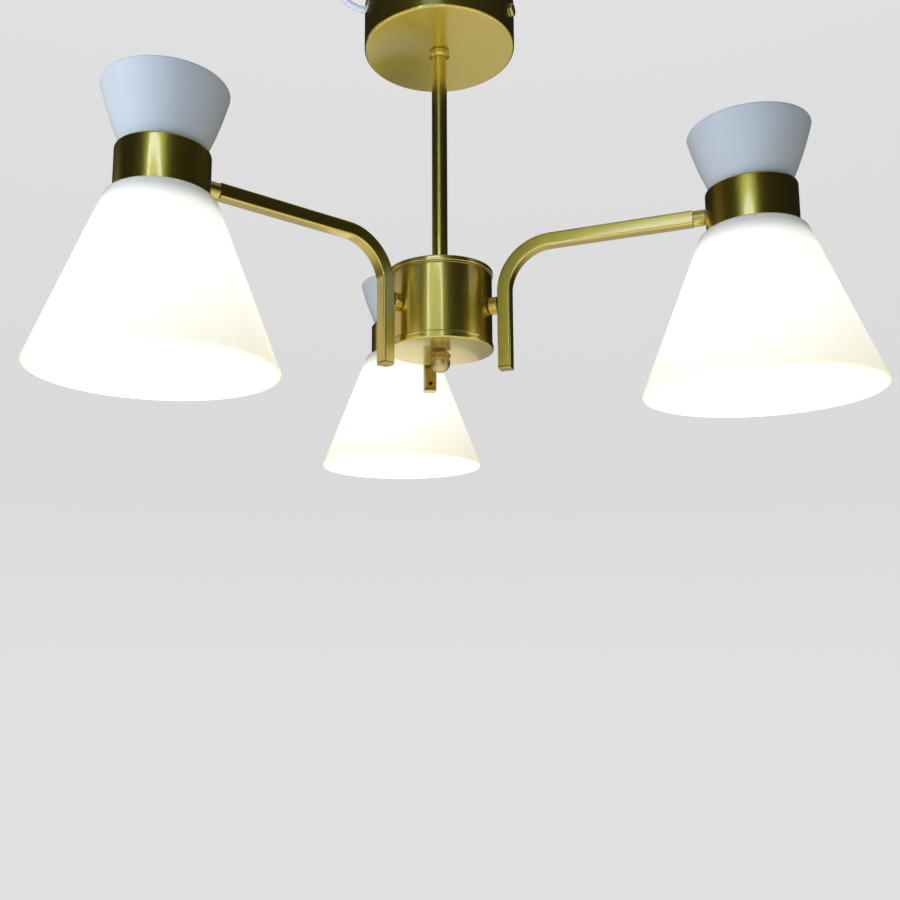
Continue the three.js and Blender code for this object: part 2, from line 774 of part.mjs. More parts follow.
function upperCup() {
  const { foot, waist, rimRadius, height, glass, bulge } = CUP;
  const bore = HOLDER.stud + CLEARANCE;
  const low = COLLAR_TOP + CLEARANCE;
  const rim = COLLAR_TOP + height;
  const side = [0, 0.5, 1].map((share) => [
    waist + (rimRadius - waist) * share + bulge * Math.sin(Math.PI * share),
    low + 2 + (rim - low - 2 - glass / 2) * share,
  ]);
  const inside = side.map(([r, z]) => [r - glass, z]).reverse();
  inside[inside.length - 1] = [foot - glass + 1, low + glass];
  return turned([[bore, low], [foot, low], ...side, [rimRadius - glass / 2, rim], ...inside,
    [bore, low + glass]], FACETS.medium);
}

function cupNut() {
  const low = COLLAR_TOP + CUP.glass + 2 * CLEARANCE;
  return sleeve(CUP_NUT.radius, HOLDER.stud + CLEARANCE, low, low + CUP_NUT.height);
}

function addHead(arm, name) {
  const head = new THREE.Group();
  head.position.x = HEAD_REACH;
  arm.add(head);
  add(head, `${name}_head_collar`, headCollar(), "brass");
  const nutStart = -(COLLAR.radius - COLLAR.wall) + 1.2;
  addAlongX(head, `${name}_ferrule_nut`, ferruleNut(), "steel", nutStart, ARM_LEVEL);
  add(head, `${name}_lampholder`, lampholder(), "porcelain");
  add(head, `${name}_lower_shade`, lowerShade(), "opal");
  add(head, `${name}_shade_ring`, shadeRing(), "porcelain");
  add(head, `${name}_bulb`, bulb(), "opal");
  add(head, `${name}_upper_cup`, upperCup(), "white");
  add(head, `${name}_cup_nut`, cupNut(), "brass");
}

// ---------------------------------------------------------------- assembly
addCeilingEnd(light);
addLead(light);
addRod(light);
addHub(light);
for (const { name, azimuth } of ARMS) {
  const arm = turnedGroup(light, azimuth);
  addArm(arm, name);
  addHead(arm, name);
}

export default light;
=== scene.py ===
import math
from itertools import pairwise

import bmesh
import bpy
from bpy.props import FloatProperty, FloatVectorProperty, PointerProperty
from mathutils import Matrix, Vector


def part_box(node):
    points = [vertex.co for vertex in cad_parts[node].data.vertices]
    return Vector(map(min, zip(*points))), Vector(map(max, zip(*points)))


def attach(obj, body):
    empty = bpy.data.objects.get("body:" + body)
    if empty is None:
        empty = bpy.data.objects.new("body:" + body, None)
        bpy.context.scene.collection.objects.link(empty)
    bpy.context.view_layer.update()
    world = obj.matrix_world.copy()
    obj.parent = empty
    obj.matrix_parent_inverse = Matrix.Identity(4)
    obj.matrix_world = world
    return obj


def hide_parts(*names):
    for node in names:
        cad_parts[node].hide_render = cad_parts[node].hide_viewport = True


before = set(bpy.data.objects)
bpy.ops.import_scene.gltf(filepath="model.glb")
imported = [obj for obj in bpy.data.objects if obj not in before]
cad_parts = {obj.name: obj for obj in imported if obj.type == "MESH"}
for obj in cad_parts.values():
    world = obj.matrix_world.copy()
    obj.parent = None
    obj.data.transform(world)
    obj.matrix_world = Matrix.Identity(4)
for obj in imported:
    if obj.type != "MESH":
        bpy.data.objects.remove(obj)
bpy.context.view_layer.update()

bl_info = {
    "name": "Three-Arm Ceiling Light",
    "version": (1, 0, 0),
    "blender": (4, 5, 0),
    "location": "3D View > Sidebar > Ceiling Light",
    "description": "Builds the finished pieces, finishes and studio of a brass ceiling light",
    "category": "Object",
}

MM = 0.001
CLEARANCE = 0.3 * MM  # between pieces that touch
ARMS = {"back": 90, "left": 210, "right": 330}  # azimuth of each arm, in degrees
SIDE_SCREWS = {"right": -30, "left": 150}
CRISP_FOLD = math.radians(35)  # steeper folds stay crisp in smooth shading
ON_AXIS = 1e-9  # a smaller radius counts as on the axis
WELD = 1e-7  # closer points become one

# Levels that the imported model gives: the origin is the centre of the ceiling face.
CANOPY_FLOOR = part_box("canopy_shell")[0].z
HUB_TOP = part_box("hub_top_cap")[1].z
HUB_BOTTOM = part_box("hub_bottom_cap")[0].z
COLLAR_BOTTOM, COLLAR_TOP = (corner.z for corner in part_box("back_head_collar"))
SHADE_RIM, SHADE_TOP = (corner.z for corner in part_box("back_lower_shade"))
CUP_FOOT, CUP_RIM = (corner.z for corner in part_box("back_upper_cup"))
HOLDER_BOTTOM, STUD_TOP = (corner.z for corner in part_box("back_lampholder"))
BULB_TIP, BULB_TOP = (corner.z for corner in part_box("back_bulb"))
LEG_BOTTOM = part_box("back_arm_end_plug")[0].z
ARM_LEVEL = (COLLAR_TOP + COLLAR_BOTTOM) / 2
BOSS_LEVEL = (HUB_TOP + HUB_BOTTOM) / 2

# The supply lead, from the terminal block over the canopy's rim and up to its connector.
LEAD_ROUTE = [
    (-0.0362, 0.0080, -0.0080),
    (-0.0405, 0.0093, -0.0072),
    (-0.0450, 0.0108, -0.0050),
    (-0.0495, 0.0122, -0.0019),
    (-0.0540, 0.0137, 0.0015),
    (-0.0586, 0.0152, 0.0041),
    (-0.0632, 0.0167, 0.0064),
    (-0.0676, 0.0182, 0.0092),
    (-0.0716, 0.0195, 0.0124),
    (-0.0752, 0.0208, 0.0161),
    (-0.0784, 0.0220, 0.0204),
    (-0.0811, 0.0230, 0.0252),
    (-0.0833, 0.0239, 0.0304),
    (-0.0849, 0.0246, 0.0356),
    (-0.0858, 0.0250, 0.0408),
    (-0.0860, 0.0252, 0.0460),
]


# ---------------------------------------------------------------- sizes and colours
def linear(hex_colour):
    """An sRGB hex colour as linear red, green, blue and alpha."""
    channels = [int(hex_colour[i:i + 2], 16) / 255 for i in (1, 3, 5)]
    return (*[c / 12.92 if c <= 0.04045 else ((c + 0.055) / 1.055) ** 2.4 for c in channels], 1.0)


def length(name, description, millimetres):
    return FloatProperty(
        name=name, description=description, default=millimetres * MM, unit="LENGTH", subtype="DISTANCE")


def colour(name, description, hex_colour):
    return FloatVectorProperty(
        name=name, description=description, default=linear(hex_colour),
        size=4, min=0, max=1, subtype="COLOR")


class LIGHT_PG_canopy(bpy.types.PropertyGroup):
    """Canopy, its screws and the lead"""

    radius: length("Radius", "Outer radius of the canopy", 60)
    wall: length("Wall", "Sheet thickness of the canopy", 1.2)
    edge: length("Edge", "Rolled edge round the canopy's underside", 2)
    screw_drop: length("Screw Drop", "Side screws below the ceiling face", 16)
    screw_head: length("Screw Head", "Radius of a side screw's head", 4.8)
    screw_height: length("Screw Height", "Height of a side screw's head", 2.4)
    lead_radius: length("Lead Radius", "Outer radius of the supply lead", 2.5)


class LIGHT_PG_stem(bpy.types.PropertyGroup):
    """Down rod, hub and finial"""

    rod_radius: length("Rod Radius", "Outer radius of the down rod", 6)
    thread_radius: length("Thread Radius", "Radius of the rod's threaded ends", 4.9)
    rod_bore: length("Rod Bore", "Radius of the wire way through the rod", 3.5)
    ring_radius: length("Ring Radius", "Radius of the ring under the canopy", 8)
    ring_height: length("Ring Height", "Height of the ring under the canopy", 5.4)
    hub_radius: length("Hub Radius", "Outer radius of the hub's drum", 40)
    hub_wall: length("Hub Wall", "Sheet thickness of the hub's drum", 1.5)
    cap_radius: length("Cap Radius", "Outer radius of the hub's end caps", 40.8)
    cap_height: length("Cap Height", "Height of a hub cap's visible rim", 5.2)
    nut_flats: length("Nut Flats", "Finial nut across its flats", 14)
    nut_height: length("Nut Height", "Height of the finial nut", 3.1)
    neck_height: length("Neck Height", "Height of the finial nut's neck", 1.2)
    ball_radius: length("Ball Radius", "Radius of the finial ball", 7.7)


class LIGHT_PG_arm(bpy.types.PropertyGroup):
    """Arms and their fittings"""

    tube: length("Tube", "Side of the square tube", 10)
    corner: length("Corner", "Outer corner radius of the tube", 1.4)
    wall: length("Wall", "Wall of the tube", 1.2)
    bend: length("Bend", "Centreline radius of the bend", 36)
    leg_reach: length("Leg Reach", "Rod axis to the leg's centreline", 52)
    plug_head: length("Plug Head", "Visible height of the leg's end plug", 1.6)
    vent: length("Vent", "Radius of the hole near the leg's foot", 1.5)
    vent_rise: length("Vent Rise", "Height of that hole above the leg's foot", 6)
    boss_radius: length("Boss Radius", "Radius of the boss between hub and leg", 6.5)
    ferrule_radius: length("Ferrule Radius", "Radius of the ferrule at the head", 5.5)
    ferrule_length: length("Ferrule Length", "Length of the ferrule's visible flange", 8)


class LIGHT_PG_head(bpy.types.PropertyGroup):
    """Hourglass heads"""

    reach: length("Head Reach", "Rod axis to a head's axis", 229)
    collar_radius: length("Collar Radius", "Outer radius of the brass collar", 30.5)
    collar_wall: length("Collar Wall", "Sheet thickness of the collar", 1.5)
    collar_edge: length("Collar Edge", "Rolled edge round the collar's top", 2)
    shade_seat: length("Shade Seat", "Radius of the hole in the shade's top", 20.4)
    shade_shoulder: length("Shade Shoulder", "Radius of the cone at its shoulder", 34.5)
    shade_rim: length("Shade Rim", "Outer radius of the shade's rim", 78.3)
    shade_glass: length("Shade Glass", "Thickness of the shade's glass", 3.5)
    shade_fillet: length("Shade Fillet", "Rounding of the shade's shoulder", 7)
    cup_foot: length("Cup Foot", "Radius of the upper cup's foot", 24.8)
    cup_waist: length("Cup Waist", "Radius of the upper cup above its foot", 27.2)
    cup_rim: length("Cup Rim", "Outer radius of the upper cup's rim", 41)
    cup_glass: length("Cup Glass", "Thickness of the upper cup", 3)
    cup_bulge: length("Cup Bulge", "How far the cup's side bows outward", 0.9)
    holder_radius: length("Holder Radius", "Radius of the lampholder", 19.6)
    stud_radius: length("Stud Radius", "Radius of the lampholder's stud", 4.9)
    lamp_radius: length("Lamp Radius", "Radius of the lamp's globe", 27.5)
    lamp_cap: length("Lamp Cap", "Radius of the lamp's screw cap", 13.2)


class LIGHT_PG_finish(bpy.types.PropertyGroup):
    """Colours of the finishes"""

    brass: colour("Satin Brass", "Lacquered satin brass", "#E0C850")
    brass_shade: colour("Satin Brass Shade", "Deeper patches of the satin brass", "#D8BE46")
    polished: colour("Polished Brass", "Buffed brass of the finial and screws", "#D6BF86")
    zinc: colour("Zinc", "Zinc-plated steel", "#B9BCBF")
    opal: colour("Opal Glass", "Body colour of the opal shades", "#BDBBB4")
    opal_glow: colour("Opal Glow", "Light that the lit opal glass gives", "#FFFEF5")
    rim_glow: colour("Rim Glow", "Warmer light of the opal glass near its rim", "#FFF9DE")
    cup_white: colour("Cup White", "Satin white of the upper cups", "#CCD2D8")
    moulding: colour("Moulding", "White urea moulding of the lampholder", "#E9E6DD")
    cable: colour("Cable", "Clear-white PVC of the leads", "#E8EEF4")


GROUPS = {
    "light_canopy": LIGHT_PG_canopy,
    "light_stem": LIGHT_PG_stem,
    "light_arm": LIGHT_PG_arm,
    "light_head": LIGHT_PG_head,
    "light_finish": LIGHT_PG_finish,
}


# ---------------------------------------------------------------- outlines
def rounded(corners, steps=6, closed=True):
    """An outline from (radius, height, fillet) corners, each fillet drawn as an arc."""
    outline = []
    count = len(corners)
    for i, (r, z, fillet) in enumerate(corners):
        here = Vector((r, z))
        at_end = not closed and i in (0, count - 1)
        if fillet <= 0 or at_end:
            outline.append(here)
            continue
        before = (Vector(corners[i - 1][:2]) - here).normalized()
        after = (Vector(corners[(i + 1) % count][:2]) - here).normalized()
        half = before.angle(after) / 2
        centre = here + (before + after).normalized() * fillet / math.sin(half)
        start = here + before * fillet / math.tan(half) - centre
        end = here + after * fillet / math.tan(half) - centre
        sweep = start.angle_signed(end)
        for k in range(steps + 1):
            turn = Matrix.Rotation(-sweep * k / steps, 2)
            outline.append(centre + turn @ start)
    return outline


def arc(centre_r, centre_z, radius, start, end, steps):
    """Points of an arc about (centre_r, centre_z), between two angles in degrees."""
    angles = [math.radians(start + (end - start) * k / steps) for k in range(steps + 1)]
    return [Vector((centre_r + radius * math.cos(a), centre_z + radius * math.sin(a))) for a in angles]


# ---------------------------------------------------------------- mesh making
def new_object(name, mesh):
    made = bpy.data.objects.new(name, mesh)
    bpy.context.scene.collection.objects.link(made)
    return made


def finish_mesh(name, bm, fold=CRISP_FOLD):
    """Turns a bmesh into a smooth-shaded object with crisp edges where it folds."""
    bmesh.ops.remove_doubles(bm, verts=bm.verts, dist=WELD)
    bmesh.ops.recalc_face_normals(bm, faces=bm.faces)
    mesh = bpy.data.meshes.new(name)
    bm.to_mesh(mesh)
    bm.free()
    mesh.shade_smooth()
    mesh.set_sharp_from_angle(angle=fold)
    return new_object(name, mesh)


def turned(name, outline, segments=128):
    """Turns a closed outline of (radius, height) about Z; it may start and end on the axis."""
    bm = bmesh.new()
    rings = []
    for r, z in outline:
        if r < ON_AXIS:
            rings.append([bm.verts.new((0, 0, z))] * segments)
            continue
        angles = [2 * math.pi * k / segments for k in range(segments)]
        rings.append([bm.verts.new((r * math.cos(a), r * math.sin(a), z)) for a in angles])
    on_axis = outline[0][0] < ON_AXIS and outline[-1][0] < ON_AXIS
    spans = list(pairwise(rings)) if on_axis else list(pairwise(rings + rings[:1]))
    for low, high in spans:
        for k in range(segments):
            following = (k + 1) % segments
            corners = (low[k], low[following], high[following], high[k])
            distinct = list(dict.fromkeys(corners))
            if len(distinct) > 2:
                bm.faces.new(distinct)
    return finish_mesh(name, bm)


def peg(name, radius, low, high, segments):
    """A solid cylinder about Z."""
    return turned(name, [(0, low), (radius, low), (radius, high), (0, high)], segments)


def bridge(bm, near, far):
    """Joins two closed loops of equal count by a band of faces."""
    for k in range(len(near)):
        following = (k + 1) % len(near)
        bm.faces.new((near[k], near[following], far[following], far[k]))


def prism(bm, outline, low, high):
    """A closed prism of an XY outline between two heights."""
    floor = [bm.verts.new((x, y, low)) for x, y in outline]
    roof = [bm.verts.new((x, y, high)) for x, y in outline]
    bm.faces.new(floor[::-1])
    bm.faces.new(roof)
    bridge(bm, floor, roof)


def flat_sheet(name, *outlines):
    """Flat faces, each from its own corners."""
    bm = bmesh.new()
    for outline in outlines:
        bm.faces.new([bm.verts.new(corner) for corner in outline])
    return finish_mesh(name, bm)


def rectangle(middle, across, up):
    """Corners of a rectangle from its middle and its two half sides."""
    return [middle - across - up, middle + across - up, middle + across + up, middle - across + up]


def round_wire(name, points, radius):
    """A round tube along a line of points."""
    curve = bpy.data.curves.new(name, "CURVE")
    curve.dimensions = "3D"
    curve.bevel_depth = radius
    spline = curve.splines.new("POLY")
    spline.points.add(len(points) - 1)
    for point, place_at in zip(spline.points, points):
        point.co = (*place_at, 1)
    return new_object(name, curve)


def polygon(flats, sides=6):
    """Corners of a regular polygon across its flats."""
    radius = flats / 2 / math.cos(math.pi / sides)
    return [(radius * math.cos(2 * math.pi * k / sides), radius * math.sin(2 * math.pi * k / sides))
            for k in range(sides)]


def apply_modifiers(piece):
    """Replaces a piece's mesh by what its modifiers make of it."""
    evaluated = piece.evaluated_get(bpy.context.evaluated_depsgraph_get())
    result = bpy.data.meshes.new_from_object(evaluated)
    piece.modifiers.clear()
    old, piece.data = piece.data, result
    bpy.data.meshes.remove(old)


def boolean(piece, tool, operation="DIFFERENCE"):
    """Cuts a tool out of a piece, or keeps what they share, and removes the tool."""
    cut = piece.modifiers.new("cut", "BOOLEAN")
    cut.operation = operation
    cut.solver = "EXACT"
    cut.object = tool
    bpy.context.view_layer.update()
    apply_modifiers(piece)
    bpy.data.objects.remove(tool)
    piece.data.shade_smooth()
    piece.data.set_sharp_from_angle(angle=CRISP_FOLD)


def bevelled(piece, width):
    """Rounds a piece's sharp edges."""
    bevel = piece.modifiers.new("edges", "BEVEL")
    bevel.width = width
    bevel.segments = 3
    bevel.limit_method = "ANGLE"
    bevel.angle_limit = math.radians(40)
    apply_modifiers(piece)


def rounded_square(side, corner, steps=6):
    """Outline of a square with round corners, anticlockwise, with its centre at the origin."""
    reach = side / 2 - corner
    centres = [(reach, reach, 0), (-reach, reach, 90), (-reach, -reach, 180), (reach, -reach, 270)]
    return [point for x, y, start in centres for point in arc(x, y, corner, start, start + 90, steps)]


def about_z(azimuth, reach=0.0, height=0.0):
    """A place at a reach from the rod's axis, turned to an azimuth."""
    turn = Matrix.Rotation(math.radians(azimuth), 4, "Z")
    return turn @ Matrix.Translation((reach, 0, height))


def along_x(azimuth, reach, height):
    """The same place, with the piece's own +Z lying outward along the arm."""
    return about_z(azimuth, reach, height) @ Matrix.Rotation(math.radians(90), 4, "Y")


# ---------------------------------------------------------------- materials
def add_node(tree, kind, inputs=None, **settings):
    """Adds a shader node, sets its options and fills its sockets with values or links."""
    made = tree.nodes.new("ShaderNode" + kind)
    for name, value in settings.items():
        setattr(made, name, value)
    for socket, value in (inputs or {}).items():
        if isinstance(value, bpy.types.NodeSocket):
            tree.links.new(value, made.inputs[socket])
        else:
            made.inputs[socket].default_value = value
    return made


def new_material(name):
    """An empty material and its node tree."""
    made = bpy.data.materials.new(name)
    made.use_nodes = True
    made.node_tree.nodes.clear()
    return made, made.node_tree


def surface(tree, shader):
    add_node(tree, "OutputMaterial", {"Surface": shader.outputs[0]})


def noise(tree, size, detail=2.0, stretch=(1, 1, 1)):
    """A noise whose blotches are about size across, in the piece's own space."""
    coords = add_node(tree, "TexCoord")
    scaled = add_node(tree, "Mapping", {"Vector": coords.outputs["Object"], "Scale": stretch})
    return add_node(tree, "TexNoise", {
        "Vector": scaled.outputs[0], "Scale": 1 / size, "Detail": detail, "Roughness": 0.55}).outputs["Fac"]


def spread(tree, value, low, high):
    """A noise value, most of it between 0.3 and 0.7, stretched to run between low and high."""
    return add_node(tree, "MapRange", {
        "Value": value, "From Min": 0.3, "From Max": 0.7, "To Min": low, "To Max": high}).outputs[0]


def blend(tree, factor, first, second):
    """A colour between two, by a factor."""
    mixed = add_node(tree, "Mix", data_type="RGBA")
    tree.links.new(factor, mixed.inputs[0])
    mixed.inputs[6].default_value = first
    mixed.inputs[7].default_value = second
    return mixed.outputs[2]


def bump(tree, height, depth):
    return add_node(tree, "Bump", {"Height": height, "Distance": depth, "Strength": 1.0}).outputs[0]


def tint(name):
    """A colour from the finish settings."""
    return tuple(getattr(bpy.context.scene.light_finish, name))


def principled(material, tree, inputs):
    """Completes a material with one principled shader."""
    surface(tree, add_node(tree, "BsdfPrincipled", inputs))
    return material


def satin_brass():
    """Brass sheet and tube, satin brushed, then lacquered.

    The brushed metal spreads a highlight wide and soft; the lacquer adds a narrower glint.
    """
    material, tree = new_material("satin_lacquered_brass")
    grain = noise(tree, 0.5 * MM, detail=3)
    clouds = noise(tree, 22 * MM)
    return principled(material, tree, {
        "Base Color": blend(tree, clouds, tint("brass"), tint("brass_shade")),
        "Metallic": 1.0,
        "Roughness": spread(tree, grain, 0.28, 0.32),
        "Coat Weight": 1.0,
        "Coat Roughness": 0.09,
        "Coat IOR": 1.75,
        "Normal": bump(tree, grain, 0.0008 * MM),
    })


def polished_brass():
    """Solid brass, buffed to a soft shine with faint wiping marks."""
    material, tree = new_material("buffed_brass")
    wipes = noise(tree, 1.5 * MM, detail=4)
    return principled(material, tree, {
        "Base Color": tint("polished"),
        "Metallic": 1.0,
        "Roughness": spread(tree, wipes, 0.3, 0.4),
        "Normal": bump(tree, wipes, 0.003 * MM),
    })


def zinc_steel():
    """Pressed steel, bright zinc plated: grey with a soft mottle of 3 mm spangles."""
    material, tree = new_material("zinc_plated_steel")
    coords = add_node(tree, "TexCoord")
    spangle = add_node(tree, "TexVoronoi", {"Vector": coords.outputs["Object"], "Scale": 1 / (3 * MM)})
    darker = (*[c * 0.86 for c in tint("zinc")[:3]], 1)
    return principled(material, tree, {
        "Base Color": blend(tree, spangle.outputs["Distance"], tint("zinc"), darker),
        "Metallic": 1.0,
        "Roughness": spread(tree, noise(tree, 2 * MM), 0.34, 0.5),
    })


def opal_glass():
    """Blown opal glass, satin etched and lit from inside.

    Its inside is pure white. Its outside glows down the cone, warmer towards the rim, and fades to a
    cool grey at the shoulder, where the collar shades it.
    """
    material, tree = new_material("lit_opal_glass")
    place_at = add_node(tree, "TexCoord").outputs["Object"]
    parts = add_node(tree, "SeparateXYZ", {"Vector": place_at})
    depth = add_node(tree, "MapRange", {
        "Value": parts.outputs["Z"], "From Min": SHADE_TOP, "From Max": SHADE_RIM}).outputs[0]
    glow = add_node(tree, "ValToRGB", {"Fac": depth})
    ramp_stops(glow, [(0.0, 0.20), (0.045, 0.22), (0.08, 0.42), (0.12, 0.70), (0.18, 0.90), (0.45, 0.98),
                      (0.75, 0.87), (1.0, 0.76)])
    milk = spread(tree, noise(tree, 30 * MM, stretch=(1, 1, 0.4)), 0.98, 1.02)
    outside = add_node(tree, "Math", {0: glow.outputs["Color"], 1: milk}, operation="MULTIPLY").outputs[0]
    radial = add_node(tree, "VectorMath", {0: place_at, 1: (1, 1, 0)}, operation="MULTIPLY").outputs[0]
    normal = add_node(tree, "NewGeometry").outputs["Normal"]
    facing = add_node(tree, "VectorMath", {0: radial, 1: normal}, operation="DOT_PRODUCT").outputs["Value"]
    outer = add_node(tree, "MapRange", {
        "Value": facing, "From Min": -2 * MM, "From Max": 2 * MM, "To Min": 1.3, "To Max": 0.0}).outputs[0]
    strength = add_node(tree, "Math", {0: outer, 1: outside}, operation="MAXIMUM").outputs[0]
    warm = add_node(tree, "MapRange", {"Value": depth, "From Min": 0.6, "From Max": 1.0}).outputs[0]
    return principled(material, tree, {
        "Base Color": tint("opal"),
        "Roughness": 0.28,
        "IOR": 1.5,
        "Emission Color": blend(tree, warm, tint("opal_glow"), tint("rim_glow")),
        "Emission Strength": strength,
        "Normal": bump(tree, noise(tree, 1.2 * MM), 0.01 * MM),
    })


def white_glass():
    """Glass sprayed satin white and baked: cool white with an even soft sheen."""
    material, tree = new_material("satin_white_glass")
    orange_peel = noise(tree, 1.6 * MM)
    return principled(material, tree, {
        "Base Color": tint("cup_white"),
        "Roughness": spread(tree, noise(tree, 12 * MM), 0.42, 0.5),
        "IOR": 1.5,
        "Normal": bump(tree, orange_peel, 0.008 * MM),
    })


def lamp_glass():
    """Frosted lamp globe, lit: an even warm white."""
    material, tree = new_material("lit_frosted_lamp")
    frost = spread(tree, noise(tree, 8 * MM), 1.7, 2.0)
    return principled(material, tree, {
        "Base Color": tint("opal"),
        "Roughness": 0.4,
        "Emission Color": tint("opal_glow"),
        "Emission Strength": frost,
    })


def white_moulding():
    """Urea moulding: hard off-white plastic with a low gloss and a faint mould texture."""
    material, tree = new_material("moulded_urea")
    texture = noise(tree, 0.6 * MM)
    return principled(material, tree, {
        "Base Color": tint("moulding"),
        "Roughness": spread(tree, texture, 0.36, 0.46),
        "IOR": 1.54,
        "Normal": bump(tree, texture, 0.01 * MM),
    })


def cable_pvc():
    """Extruded PVC: soft, slightly glossy milk-white with faint draw lines along it."""
    material, tree = new_material("extruded_pvc")
    skin = noise(tree, 2 * MM)
    return principled(material, tree, {
        "Base Color": tint("cable"),
        "Roughness": spread(tree, skin, 0.28, 0.4),
        "IOR": 1.53,
        "Coat Weight": 0.2,
        "Coat Roughness": 0.1,
        "Normal": bump(tree, skin, 0.02 * MM),
    })


MAKERS = {maker.__name__: maker for maker in (
    satin_brass, polished_brass, zinc_steel, opal_glass, white_glass, lamp_glass, white_moulding, cable_pvc)}
made_materials = {}


def finish(slot):
    """The material of a slot, made when it is first asked for."""
    if slot not in made_materials:
        made_materials[slot] = MAKERS[slot]()
    return made_materials[slot]


def wear(piece, slot):
    """Gives a piece the finish of a slot and no other."""
    piece.data.materials.clear()
    piece.data.materials.append(finish(slot))


def stand_in(piece, slot, body, *nodes, at=None):
    """Gives a piece its finish, its place and its body, and hides the CAD nodes that it stands for."""
    wear(piece, slot)
    if at is not None:
        offset, turn, _ = at.decompose()
        piece.data.transform(turn.to_matrix().to_4x4())
        piece.location = offset
    normals = piece.modifiers.new("flat_faces", "WEIGHTED_NORMAL")
    normals.keep_sharp = True
    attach(piece, body)
    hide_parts(*nodes)


def keep(slot, *nodes):
    """Finishes CAD nodes whose own shape stays."""
    for node in nodes:
        wear(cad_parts[node], slot)


# ---------------------------------------------------------------- operators
class LIGHT_OT_camera(bpy.types.Operator):
    """Set up the camera, a little below the light and looking up at it"""

    bl_idname = "light.camera"
    bl_label = "Camera"

    def execute(self, context):
        camera = new_object("camera", bpy.data.cameras.new("camera"))
        place_at = Matrix.Translation((-0.1215, -0.7117, -0.4912))
        heading = Matrix.Rotation(math.radians(-7.38), 4, "Z")
        tilt = Matrix.Rotation(math.radians(90 + 8.64), 4, "X")
        roll = Matrix.Rotation(math.radians(0.14), 4, "Z")
        camera.matrix_basis = place_at @ heading @ tilt @ roll
        camera.data.sensor_width = 36
        camera.data.lens = 38.84
        camera.data.shift_x = 0.0533
        camera.data.shift_y = 0.0280
        camera.data.clip_start = 0.01
        context.scene.camera = camera
        return {"FINISHED"}


def catmull_rom(points, per_span=8):
    """Points of a smooth curve through the given ones, with centripetal knots."""
    points = [Vector(p) for p in points]
    ends = [2 * points[0] - points[1], *points, 2 * points[-1] - points[-2]]
    curve = []
    for i in range(1, len(ends) - 2):
        p0, p1, p2, p3 = ends[i - 1:i + 3]
        knots = [0.0]
        for a, b in pairwise((p0, p1, p2, p3)):
            knots.append(knots[-1] + math.sqrt((b - a).length))
        t0, t1, t2, t3 = knots
        for k in range(per_span):
            t = t1 + (t2 - t1) * k / per_span
            a1 = p0.lerp(p1, (t - t0) / (t1 - t0))
            a2 = p1.lerp(p2, (t - t1) / (t2 - t1))
            a3 = p2.lerp(p3, (t - t2) / (t3 - t2))
            b1 = a1.lerp(a2, (t - t0) / (t2 - t0))
            b2 = a2.lerp(a3, (t - t1) / (t3 - t1))
            curve.append(b1.lerp(b2, (t - t1) / (t2 - t1)))
    return [*curve, points[-1]]


class LIGHT_OT_lead(bpy.types.Operator):
    """Lay the supply lead over the canopy's rim, with its connector"""

    bl_idname = "light.lead"
    bl_label = "Supply Lead"

    def execute(self, context):
        sizes = context.scene.light_canopy
        route = catmull_rom(LEAD_ROUTE)
        cable = round_wire("supply_cable", route, sizes.lead_radius)
        cable.data.bevel_resolution = 8
        cable.data.use_fill_caps = True
        wear(cable, "cable_pvc")
        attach(cable, "fixture")
        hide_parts("supply_lead")
        connector = self.connector()
        return {"FINISHED"}

    def connector(self):
        """Two-way push-in connector with round entries in its top."""
        low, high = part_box("lead_connector")
        centre = (low + high) / 2
        width, depth = high.x - low.x, high.y - low.y
        bm = bmesh.new()
        outline = [(point.x * width, point.y * depth) for point in rounded_square(1, 0.08, 4)]
        prism(bm, outline, low.z - centre.z, high.z - centre.z)
        body = finish_mesh("push_connector", bm)
        for side in (-1, 1):
            entry = peg("entry", 1.6 * MM, -4 * MM, 4 * MM, 32)
            entry.location = (side * 3 * MM, 0, high.z - centre.z)
            boolean(body, entry)
        stand_in(body, "white_moulding", "fixture", "lead_connector", at=Matrix.Translation(centre))
        return body


class LIGHT_OT_canopy(bpy.types.Operator):
    """Build the canopy, its side screws and the hardware inside it"""

    bl_idname = "light.canopy"
    bl_label = "Canopy"

    def execute(self, context):
        sizes = context.scene.light_canopy
        stem = context.scene.light_stem
        bore = stem.thread_radius + CLEARANCE
        inside = sizes.radius - sizes.wall
        shell = turned("canopy_drum", rounded([
            (bore, CANOPY_FLOOR, 0),
            (sizes.radius, CANOPY_FLOOR, sizes.edge),
            (sizes.radius, 0, 0.25 * MM),
            (inside, 0, 0.25 * MM),
            (inside, CANOPY_FLOOR + sizes.wall, sizes.edge - sizes.wall),
            (bore, CANOPY_FLOOR + sizes.wall, 0),
        ], steps=10), segments=192)
        stand_in(shell, "satin_brass", "fixture", "canopy_shell")
        for side, azimuth in SIDE_SCREWS.items():
            screw = self.screw(side, sizes)
            at = along_x(azimuth, sizes.radius + CLEARANCE, -sizes.screw_drop)
            stand_in(screw, "polished_brass", f"screw_{side}", f"canopy_screw_{side}", at=at)
        keep("zinc_steel", "mounting_bracket")
        keep("white_moulding", "terminal_block")
        return {"FINISHED"}

    def screw(self, side, sizes):
        """Low round-edged screw with a hexagonal socket, along +Z from its bearing face."""
        head, height = sizes.screw_head, sizes.screw_height
        shank, reach = 1.9 * MM, 8 * MM
        screw = turned(f"side_screw_{side}", rounded([
            (0, -reach, 0),
            (shank, -reach, 0.3 * MM),
            (shank, 0, 0),
            (head, 0, 0.1 * MM),
            (head, height, 1.4 * MM),
            (0, height, 0),
        ], closed=False), 64)
        bm = bmesh.new()
        prism(bm, polygon(3 * MM), height - 1.6 * MM, height + 1 * MM)
        boolean(screw, finish_mesh("socket", bm))
        return screw


